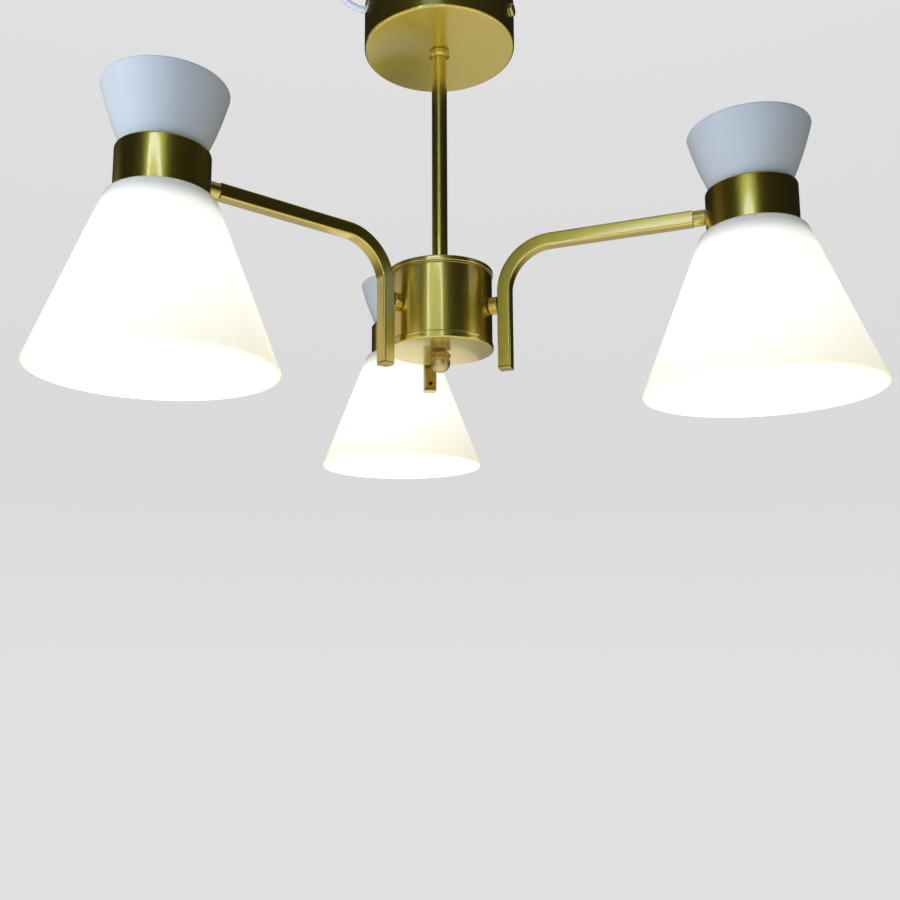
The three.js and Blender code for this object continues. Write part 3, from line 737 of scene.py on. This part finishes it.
class LIGHT_OT_rod(bpy.types.Operator):
    """Build the down rod, the ring under the canopy and the locknut inside it"""

    bl_idname = "light.rod"
    bl_label = "Down Rod"

    def execute(self, context):
        sizes = context.scene.light_stem
        top = CANOPY_FLOOR - CLEARANCE
        foot = HUB_TOP + CLEARANCE
        thread_top, thread_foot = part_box("down_rod")[1].z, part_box("down_rod")[0].z
        rod = turned("down_rod_tube", rounded([
            (sizes.rod_bore, thread_foot, 0),
            (sizes.thread_radius, thread_foot, 0.3 * MM),
            (sizes.thread_radius, foot, 0),
            (sizes.rod_radius, foot, 0.25 * MM),
            (sizes.rod_radius, top, 0.25 * MM),
            (sizes.thread_radius, top, 0),
            (sizes.thread_radius, thread_top, 0.3 * MM),
            (sizes.rod_bore, thread_top, 0),
        ]), segments=96)
        stand_in(rod, "satin_brass", "fixture", "down_rod")
        bore = sizes.rod_radius + CLEARANCE
        ring = turned("rod_collar_ring", rounded([
            (bore, top - sizes.ring_height, 0.15 * MM),
            (sizes.ring_radius - 1.4 * MM, top - sizes.ring_height, 0.2 * MM),
            (sizes.ring_radius, top - sizes.ring_height + 1.8 * MM, 0.3 * MM),
            (sizes.ring_radius, top, 0.3 * MM),
            (bore, top, 0),
        ]), segments=96)
        stand_in(ring, "satin_brass", "fixture", "rod_ring")
        self.locknut(sizes)
        keep("cable_pvc", "rod_wire")
        return {"FINISHED"}

    def locknut(self, sizes):
        """Flanged hexagon nut on the rod's thread, inside the canopy."""
        low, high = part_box("canopy_locknut")
        bore = sizes.thread_radius + CLEARANCE
        flange = 1.6 * MM
        bm = bmesh.new()
        prism(bm, polygon(15 * MM), low.z + flange, high.z)
        nut = finish_mesh("canopy_nut", bm)
        chamfer = turned("chamfer", [
            (0, low.z), (9 * MM, low.z), (9 * MM, high.z - 1.2 * MM), (7.4 * MM, high.z), (0, high.z)], 64)
        boolean(nut, chamfer, "INTERSECT")
        disc = turned("flange", rounded([
            (0, low.z, 0), (10 * MM, low.z, 0.3 * MM), (10 * MM, low.z + flange, 0.3 * MM),
            (0, low.z + flange + 0.2 * MM, 0)], closed=False), 64)
        boolean(nut, disc, "UNION")
        boolean(nut, peg("bore", bore, low.z - MM, high.z + MM, 64))
        stand_in(nut, "zinc_steel", "fixture", "canopy_locknut")


class LIGHT_OT_hub(bpy.types.Operator):
    """Build the hub's drum and its two stepped caps"""

    bl_idname = "light.hub"
    bl_label = "Hub"

    def execute(self, context):
        sizes = context.scene.light_stem
        inside = sizes.hub_radius - sizes.hub_wall
        low = HUB_BOTTOM + sizes.cap_height + CLEARANCE
        high = HUB_TOP - sizes.cap_height - CLEARANCE
        drum = turned("hub_drum", rounded([
            (inside, low, 0.2 * MM),
            (sizes.hub_radius, low, 0.25 * MM),
            (sizes.hub_radius, high, 0.25 * MM),
            (inside, high, 0.2 * MM),
        ]), segments=160)
        stand_in(drum, "satin_brass", "fixture", "hub_body")
        upside_down = Matrix.Translation((0, 0, HUB_TOP)) @ Matrix.Rotation(math.pi, 4, "X")
        top = self.cap("hub_cap_top", sizes, sizes.thread_radius + CLEARANCE)
        stand_in(top, "satin_brass", "fixture", "hub_top_cap", at=upside_down)
        bottom = self.cap("hub_cap_bottom", sizes, 3.2 * MM)
        at = Matrix.Translation((0, 0, HUB_BOTTOM))
        stand_in(bottom, "satin_brass", "fixture", "hub_bottom_cap", at=at)
        keep("zinc_steel", "hub_coupler", "finial_stud")
        return {"FINISHED"}

    def cap(self, name, sizes, bore):
        """Spun cap with a rounded bead, a fine step and a lip that plugs into the drum."""
        lip = sizes.hub_radius - sizes.hub_wall - CLEARANCE
        sheet = 1.5 * MM
        step = 1.6 * MM
        bead = sizes.cap_height - step
        height = sizes.cap_height
        return turned(name, rounded([
            (bore, 0, 0.2 * MM),
            (sizes.cap_radius, 0, 1.1 * MM),
            (sizes.cap_radius, bead, 0.45 * MM),
            (sizes.cap_radius - 0.55 * MM, bead, 0.1 * MM),
            (sizes.cap_radius - 0.35 * MM, height, 0.35 * MM),
            (lip, height, 0),
            (lip, height + 3.5 * MM, 0.2 * MM),
            (lip - sheet, height + 3.5 * MM, 0.2 * MM),
            (lip - sheet, sheet, 0),
            (bore, sheet, 0),
        ], steps=6), segments=160)


class LIGHT_OT_finial(bpy.types.Operator):
    """Build the polished nut and ball under the hub"""

    bl_idname = "light.finial"
    bl_label = "Finial"

    def execute(self, context):
        sizes = context.scene.light_stem
        bore = 3.2 * MM
        top = HUB_BOTTOM - CLEARANCE
        low = top - sizes.neck_height - sizes.nut_height
        bm = bmesh.new()
        prism(bm, polygon(sizes.nut_flats), low, top - sizes.neck_height)
        nut = finish_mesh("finial_hex_nut", bm)
        corner = sizes.nut_flats / 2 / math.cos(math.radians(30))
        chamfer = 0.55 * MM
        lens = [(0, low), (corner - chamfer, low), (corner + 0.1 * MM, low + chamfer),
                (corner + 0.1 * MM, top - sizes.neck_height - chamfer),
                (corner - chamfer, top - sizes.neck_height), (0, top - sizes.neck_height)]
        boolean(nut, turned("chamfer", lens, 96), "INTERSECT")
        boolean(nut, peg("neck", 3.6 * MM, low + MM, top, 48), "UNION")
        boolean(nut, peg("bore", bore, low - MM, top + MM, 48))
        stand_in(nut, "polished_brass", "finial_nut_turned", "finial_nut")

        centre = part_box("finial_ball")[0].z + sizes.ball_radius
        ball_top = low - CLEARANCE
        start = math.degrees(math.asin((ball_top - centre) / sizes.ball_radius))
        ball = turned("finial_ball_knob", [
            Vector((0, centre - 1.2 * MM)),
            *arc(0, centre, sizes.ball_radius, -90, start, 40),
            Vector((bore, ball_top)),
            Vector((bore, centre - 1.2 * MM)),
            Vector((0, centre - 1.2 * MM)),
        ], 96)
        stand_in(ball, "polished_brass", "finial_ball_turned", "finial_ball")
        return {"FINISHED"}


class LIGHT_OT_arms(bpy.types.Operator):
    """Bend the three square arms and add their plugs, bosses, ferrules and fixings"""

    bl_idname = "light.arms"
    bl_label = "Arms"

    def execute(self, context):
        sizes = context.scene.light_arm
        hub_radius = context.scene.light_stem.hub_radius
        head = context.scene.light_head
        ferrule_start = head.reach - head.collar_radius - CLEARANCE - sizes.ferrule_length
        for arm, azimuth in ARMS.items():
            pieces = (
                ("arm_tube", self.tube(f"{arm}_square_tube", sizes, ferrule_start - CLEARANCE),
                 about_z(azimuth)),
                ("arm_end_plug", self.plug(f"{arm}_leg_plug", sizes),
                 about_z(azimuth, sizes.leg_reach, LEG_BOTTOM)),
                ("spacer_boss", self.boss(f"{arm}_round_boss", sizes, hub_radius),
                 along_x(azimuth, hub_radius + CLEARANCE, BOSS_LEVEL)),
                ("ferrule", self.ferrule(f"{arm}_round_ferrule", sizes),
                 along_x(azimuth, ferrule_start, ARM_LEVEL)),
            )
            for node, piece, at in pieces:
                stand_in(piece, "satin_brass", "fixture", f"{arm}_{node}", at=at)
            keep("zinc_steel", f"{arm}_arm_bolt", f"{arm}_ferrule_nut")
            keep("cable_pvc", f"{arm}_arm_wire")
        return {"FINISHED"}

    def stations(self, sizes, run_end):
        """Centre, inward direction and share of the bend at each section, from the head to the foot."""
        bend_x = sizes.leg_reach + sizes.bend
        bend_z = ARM_LEVEL - sizes.bend
        foot = LEG_BOTTOM + sizes.plug_head + CLEARANCE
        steps = 48
        route = [(Vector((run_end, 0, ARM_LEVEL)), Vector((0, 0, -1)), 0.0)]
        for k in range(steps + 1):
            angle = math.pi / 2 * k / steps
            inward = Vector((math.sin(angle), 0, -math.cos(angle)))
            centre = Vector((bend_x, 0, bend_z)) - inward * sizes.bend
            route.append((centre, inward, k / steps))
        route.append((Vector((sizes.leg_reach, 0, foot)), Vector((1, 0, 0)), 0.0))
        return route

    def tube(self, name, sizes, run_end):
        """Square tube with round corners, slightly dished inside its bend as bent tube is."""
        outer = rounded_square(sizes.tube, sizes.corner)
        inner = rounded_square(sizes.tube - 2 * sizes.wall, 0.3 * MM)
        dish = 0.55 * MM
        ease = 0.14
        half = sizes.tube / 2
        bm = bmesh.new()
        loops = []
        for centre, inward, share in self.stations(sizes, run_end):
            edge = min(share, 1 - share) / ease
            strain = min(1.0, edge) ** 2 * (3 - 2 * min(1.0, edge))
            for outline in (outer, inner):
                loop = []
                for u, v in outline:
                    hollow = dish * strain * max(0.0, 1 - (u / half) ** 2) if v > half - 2.2 * MM else 0.0
                    side = u * (1 + 0.02 * strain)
                    loop.append(bm.verts.new(centre + Vector((0, side, 0)) + inward * (v - hollow)))
                loops.append(loop)
        outers, inners = loops[0::2], loops[1::2]
        for skin in (outers, inners):
            for near, far in pairwise(skin):
                bridge(bm, near, far)
        bridge(bm, outers[0], inners[0])
        bridge(bm, outers[-1], inners[-1])
        tube = finish_mesh(name, bm, fold=math.radians(30))
        boolean(tube, self.hole(sizes, sizes.leg_reach - half, LEG_BOTTOM + sizes.vent_rise))
        return tube

    def plug(self, name, sizes):
        """Pressed plug that closes the leg, its rim chamfered and its spigot inside the tube."""
        bm = bmesh.new()
        prism(bm, rounded_square(sizes.tube, sizes.corner), 0, sizes.plug_head)
        plug = finish_mesh(name, bm)
        bevelled(plug, 0.45 * MM)
        bm = bmesh.new()
        side = sizes.tube - 2 * sizes.wall - 2 * CLEARANCE
        prism(bm, rounded_square(side, 0.3 * MM), sizes.plug_head - 0.4 * MM, sizes.plug_head + 4.6 * MM)
        boolean(plug, finish_mesh("spigot", bm), "UNION")
        boolean(plug, self.hole(sizes, -side / 2, sizes.vent_rise))
        return plug

    def hole(self, sizes, reach, height):
        """A tool for the small hole through the leg's inner face and into its plug."""
        tool = peg("hole", sizes.vent, -2.5 * MM, 8 * MM, 32)
        tool.matrix_basis = along_x(0, reach, height)
        return tool

    def boss(self, name, sizes, hub_radius):
        """Turned boss between the hub and the leg."""
        reach = sizes.leg_reach - sizes.tube / 2 - hub_radius - 2 * CLEARANCE
        bore = 3.8 * MM
        return turned(name, rounded([
            (bore, 0, 0), (sizes.boss_radius, 0, 0.5 * MM), (sizes.boss_radius, reach, 0.5 * MM),
            (bore, reach, 0)]), segments=96)

    def ferrule(self, name, sizes):
        """Turned ferrule: spigot in the tube, round flange, and a tail through the collar."""
        long, bore = sizes.ferrule_length, 2.2 * MM
        return turned(name, rounded([
            (bore, -7 * MM, 0), (3.1 * MM, -7 * MM, 0.2 * MM), (3.1 * MM, 0, 0),
            (sizes.ferrule_radius, 0, 0.45 * MM), (sizes.ferrule_radius, long, 0.45 * MM),
            (3.9 * MM, long, 0), (3.9 * MM, long + 8.5 * MM, 0.3 * MM), (bore, long + 8.5 * MM, 0),
        ]), segments=80)


class LIGHT_OT_heads(bpy.types.Operator):
    """Build the collars, cone shades, cups and lampholders of the three heads"""

    bl_idname = "light.heads"
    bl_label = "Heads"

    def execute(self, context):
        sizes = context.scene.light_head
        pieces = (
            (self.collar, "brass_collar", "satin_brass", "head_collar"),
            (self.shade, "cone_shade", "opal_glass", "lower_shade"),
            (self.cup, "hourglass_cup", "white_glass", "upper_cup"),
            (self.cup_nut, "knurled_nut", "satin_brass", "cup_nut"),
            (self.holder, "lamp_socket", "white_moulding", "lampholder"),
            (self.ring, "threaded_ring", "white_moulding", "shade_ring"),
            (self.lamp, "globe_lamp", "lamp_glass", "bulb"),
        )
        for arm, azimuth in ARMS.items():
            at = about_z(azimuth, sizes.reach)
            moving = {"shade_ring": f"{arm}_ring", "bulb": f"{arm}_lamp"}
            for make, name, slot, node in pieces:
                body = moving.get(node, "fixture")
                stand_in(make(f"{arm}_{name}", sizes), slot, body, f"{arm}_{node}", at=at)
        return {"FINISHED"}

    def collar(self, name, sizes):
        """Spun brass collar, closed at the top with a rolled edge."""
        bore = sizes.stud_radius + CLEARANCE
        inside = sizes.collar_radius - sizes.collar_wall
        return turned(name, rounded([
            (bore, COLLAR_TOP - sizes.collar_wall, 0),
            (inside, COLLAR_TOP - sizes.collar_wall, sizes.collar_edge - sizes.collar_wall),
            (inside, COLLAR_BOTTOM, 0.2 * MM),
            (sizes.collar_radius, COLLAR_BOTTOM, 0.25 * MM),
            (sizes.collar_radius, COLLAR_TOP, sizes.collar_edge),
            (bore, COLLAR_TOP, 0),
        ], steps=10), segments=160)

    def shade(self, name, sizes):
        """Blown cone with a rounded shoulder and a melted rim."""
        seat, glass = sizes.shade_seat, sizes.shade_glass
        rim = sizes.shade_rim
        slope = Vector((rim - sizes.shade_shoulder, SHADE_RIM - SHADE_TOP)).normalized()
        across = Vector((slope.y, -slope.x)) * glass  # from the outer skin to the inner one
        inner_rim = Vector((rim, SHADE_RIM)) + across
        inner_top = SHADE_TOP - glass
        along = (inner_top - inner_rim.y) / slope.y
        inner_shoulder = inner_rim.x + slope.x * along
        return turned(name, rounded([
            (seat, SHADE_TOP, 0.5 * MM),
            (sizes.shade_shoulder, SHADE_TOP, sizes.shade_fillet),
            (rim, SHADE_RIM, glass * 0.42),
            (inner_rim.x, SHADE_RIM, glass * 0.42),
            (inner_shoulder, inner_top, sizes.shade_fillet - glass),
            (seat, inner_top, 0.5 * MM),
        ], steps=12), segments=192)

    def cup(self, name, sizes):
        """Hourglass cup, bowed outward a little, with a rounded rim."""
        bore = sizes.stud_radius + CLEARANCE
        glass = sizes.cup_glass
        low, rim = CUP_FOOT, CUP_RIM
        base = low + 2 * MM
        steps = 24
        side = []
        for k in range(steps + 1):
            share = k / steps
            r = sizes.cup_waist + (sizes.cup_rim - sizes.cup_waist) * share
            z = base + (rim - base - glass / 2) * share
            side.append(Vector((r + sizes.cup_bulge * math.sin(math.pi * share), z)))
        foot = arc(sizes.cup_foot, base, 2 * MM, -90, -20, 6)
        lip = arc(sizes.cup_rim - glass / 2, rim - glass / 2, glass / 2, 10, 170, 12)
        inside = [Vector((p.x - glass, p.y)) for p in reversed(side) if p.y > low + glass + 2 * MM]
        corner = Vector((inside[-1].x - 1.5 * MM, low + glass))
        outline = [
            Vector((bore, low)), *foot, *side[1:], *lip, *inside, corner, Vector((bore, low + glass))]
        return turned(name, outline, segments=160)

    def cup_nut(self, name, sizes):
        """Round brass nut with a chamfered rim that clamps the cup."""
        low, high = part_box("back_cup_nut")
        bore = sizes.stud_radius + CLEARANCE
        radius = 9 * MM
        return turned(name, rounded([
            (bore, low.z, 0), (radius, low.z, 0.3 * MM),
            (radius, high.z, 0.7 * MM), (bore, high.z, 0.4 * MM),
        ]), segments=96)

    def holder(self, name, sizes):
        """Moulded lampholder: open throat below, stud above."""
        throat, throat_depth = 14.2 * MM, 27 * MM
        throat_top = HOLDER_BOTTOM + throat_depth
        shoulder = COLLAR_TOP - sizes.collar_wall - CLEARANCE
        return turned(name, rounded([
            (0, throat_top, 0),
            (throat, throat_top, 0.5 * MM),
            (throat, HOLDER_BOTTOM, 0.5 * MM),
            (sizes.holder_radius, HOLDER_BOTTOM, 0.8 * MM),
            (sizes.holder_radius, shoulder - 3 * MM, 1 * MM),
            (sizes.holder_radius - 3 * MM, shoulder, 0.6 * MM),
            (sizes.stud_radius, shoulder, 0),
            (sizes.stud_radius, STUD_TOP, 0.5 * MM),
            (0, STUD_TOP, 0),
        ], closed=False), segments=96)

    def ring(self, name, sizes):
        """Threaded ring that screws up the lampholder and clamps the shade."""
        low, high = (corner.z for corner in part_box("back_shade_ring"))
        return turned(name, rounded([
            (20 * MM, low, 0.3 * MM), (22.2 * MM, low, 0.6 * MM), (22.2 * MM, high - 1.8 * MM, 0.8 * MM),
            (28 * MM, high - 1.8 * MM, 0.5 * MM), (28 * MM, high, 0.2 * MM), (20 * MM, high, 0),
        ]), segments=96)

    def lamp(self, name, sizes):
        """Globe lamp: screw cap, flared neck and round bulb."""
        centre = BULB_TIP + sizes.lamp_radius
        cap_end = BULB_TOP - 24 * MM
        neck = sizes.lamp_cap + 0.8 * MM
        globe = arc(0, centre, sizes.lamp_radius, 48, -90, 40)
        return turned(name, [
            Vector((0, BULB_TOP)), Vector((sizes.lamp_cap * 0.5, BULB_TOP)),
            Vector((sizes.lamp_cap, BULB_TOP - 4 * MM)), Vector((sizes.lamp_cap, cap_end)),
            Vector((neck, cap_end - 3 * MM)), *globe[:-1], Vector((0, BULB_TIP))], segments=96)


# ---------------------------------------------------------------- studio
def room_light(world):
    """A dark room over a pale floor: it's what the brass mirrors."""
    world.use_nodes = True
    tree = world.node_tree
    tree.nodes.clear()
    coords = add_node(tree, "TexCoord")
    parts = add_node(tree, "SeparateXYZ", {"Vector": coords.outputs["Generated"]})
    height = add_node(tree, "MapRange", {
        "Value": parts.outputs["Z"], "From Min": -1.0, "From Max": 1.0}).outputs[0]
    room = add_node(tree, "ValToRGB", {"Fac": height})
    ramp_stops(room, [
        (0.0, (0.95, 0.95, 0.92)), (0.13, (0.90, 0.90, 0.86)), (0.19, (0.60, 0.60, 0.57)),
        (0.25, (0.58, 0.58, 0.54)), (0.35, (0.30, 0.30, 0.28)), (0.46, (0.10, 0.10, 0.09)),
        (0.52, (0.010, 0.010, 0.009)), (0.80, (0.012, 0.012, 0.012)), (0.92, (0.20, 0.20, 0.21)),
        (1.0, (0.28, 0.28, 0.30))])
    background = add_node(tree, "Background", {"Color": room.outputs["Color"], "Strength": 1.0})
    add_node(tree, "OutputWorld", {"Surface": background.outputs[0]})


def ramp_stops(node, stops):
    """Sets a colour ramp's stops, each a grey level or a linear colour."""
    elements = node.color_ramp.elements
    while len(elements) < len(stops):
        elements.new(1.0)
    for element, (position, level) in zip(elements, stops):
        element.position = position
        element.color = (*level, 1) if isinstance(level, tuple) else (level, level, level, 1)


def emitter(name, colour_hex, strength):
    """A plain light-giving material."""
    material, tree = new_material(name)
    surface(tree, add_node(tree, "Emission", {"Color": linear(colour_hex), "Strength": strength}))
    return material


class LIGHT_OT_stage(bpy.types.Operator):
    """Set up the pale backdrop and the soft lights"""

    bl_idname = "light.stage"
    bl_label = "Stage"

    def execute(self, context):
        self.backdrop()
        self.window_light()
        self.arch_light()
        self.warm_card()
        context.scene.world = bpy.data.worlds.new("studio_room")
        room_light(context.scene.world)
        context.scene.view_settings.view_transform = "Standard"
        return {"FINISHED"}

    def backdrop(self):
        """Round studio floor and wall of plain pale paper that gives its own glow, with painted shade making
        it a little greyer where the wall begins.
        """
        floor, wall, cove, height = -1.0, 4.0, 1.2, 3.2
        outline = [(0.0, floor), *[(p.x, p.y) for p in arc(wall - cove, floor + cove, cove, -90, 0, 16)],
                   (wall, height), (0.0, height + 0.5)]
        studio = turned("studio_backdrop", outline, segments=128)
        material, tree = new_material("matt_paper")
        position = add_node(tree, "NewGeometry").outputs["Position"]
        parts = add_node(tree, "SeparateXYZ", {"Vector": position})
        rise = add_node(tree, "MapRange", {
            "Value": parts.outputs["Z"], "From Min": floor, "From Max": height}).outputs[0]
        paper_glow_and_painted_shade = add_node(tree, "ValToRGB", {"Fac": rise})
        # Painted shade: the paper's glow dips a little where the wall begins and rises again above.
        ramp_stops(paper_glow_and_painted_shade, [(0.0, 0.76), (0.3, 0.7), (1.0, 0.76)])
        surface(tree, add_node(tree, "Emission", {"Color": paper_glow_and_painted_shade.outputs["Color"], "Strength": 1.0}))
        studio.data.materials.append(material)
        studio.visible_diffuse = False
        studio.visible_glossy = False
        studio.visible_transmission = False
        studio.visible_shadow = False

    def window_light(self):
        """Cool daylight from the left, softened by a large sheet."""
        lamp = bpy.data.lights.new("window", "AREA")
        lamp.shape = "RECTANGLE"
        lamp.size, lamp.size_y = 0.5, 0.7
        lamp.energy = 6.2
        lamp.color = linear("#DEE6F6")[:3]
        window = new_object("window", lamp)
        window.location = (-0.9, -0.45, -0.02)
        window.rotation_mode = "QUATERNION"
        window.rotation_quaternion = Vector((1.0, 0.45, -0.2)).to_track_quat("-Z", "Y")
        window.visible_camera = False
        window.visible_glossy = False

    def arch_light(self):
        """Arched light at the front: a bright tube round a cool lit sheet, mirrored in every curve."""
        near, far = Vector((-0.446, -0.642, 0)), Vector((-0.093, -0.873, 0))
        middle = (near + far) / 2
        across = (far - near) / 2
        foot, spring, crown = -0.7, 0.045, 0.055
        points = [near + Vector((0, 0, foot))]
        steps = 24
        for k in range(steps + 1):
            angle = math.pi - math.pi * k / steps
            points.append(middle + across * math.cos(angle)
                          + Vector((0, 0, spring + crown * math.sin(angle))))
        points.append(far + Vector((0, 0, foot)))
        above = rectangle(middle + Vector((0, 0, 0.435)), across * 0.9, Vector((0, 0, 0.265)))
        sheet = flat_sheet("arch_sheet", points, above)
        sheet.data.materials.append(emitter("lit_sheet", "#B4D2F4", 0.7))
        tube = round_wire("arch_tube", points, 0.02)
        tube.data.materials.append(emitter("light_tube", "#DCEBFF", 5.5))
        self.unseen(tube, sheet)

    def warm_card(self):
        """Warm card low at the far left, for the bright side of the left leg."""
        middle, across, up = Vector((-1.19, 0.53, 0.05)), Vector((-0.14, -0.32, 0)), Vector((0, 0, 0.2))
        card = flat_sheet("warm_card", rectangle(middle, across, up))
        card.data.materials.append(emitter("warm_sheet", "#FFF6E8", 0.75))
        self.unseen(card)

    def unseen(self, *lights):
        """Hides lights from the camera."""
        for light in lights:
            light.visible_camera = False


class LIGHT_PT_panel(bpy.types.Panel):
    """Lists the steps that build the light"""

    bl_idname = "LIGHT_PT_panel"
    bl_label = "Ceiling Light"
    bl_space_type = "VIEW_3D"
    bl_region_type = "UI"
    bl_category = "Ceiling Light"

    def draw(self, context):
        for operator in OPERATORS:
            self.layout.operator(operator.bl_idname)
        for group in GROUPS:
            box = self.layout.box()
            settings = getattr(context.scene, group)
            for name in settings.__annotations__:
                box.prop(settings, name)


OPERATORS = (
    LIGHT_OT_camera,
    LIGHT_OT_lead,
    LIGHT_OT_canopy,
    LIGHT_OT_rod,
    LIGHT_OT_hub,
    LIGHT_OT_finial,
    LIGHT_OT_arms,
    LIGHT_OT_heads,
    LIGHT_OT_stage,
)


def register():
    for group in GROUPS.values():
        bpy.utils.register_class(group)
    for name, group in GROUPS.items():
        setattr(bpy.types.Scene, name, PointerProperty(type=group))
    for operator in OPERATORS:
        bpy.utils.register_class(operator)
    bpy.utils.register_class(LIGHT_PT_panel)


def unregister():
    bpy.utils.unregister_class(LIGHT_PT_panel)
    for operator in reversed(OPERATORS):
        bpy.utils.unregister_class(operator)
    for name in GROUPS:
        delattr(bpy.types.Scene, name)
    for group in reversed(list(GROUPS.values())):
        bpy.utils.unregister_class(group)


def main():
    register()
    bpy.ops.light.camera()
    bpy.ops.light.lead()
    bpy.ops.light.canopy()
    bpy.ops.light.rod()
    bpy.ops.light.hub()
    bpy.ops.light.finial()
    bpy.ops.light.arms()
    bpy.ops.light.heads()
    bpy.ops.light.stage()


if __name__ == "__main__":
    main()
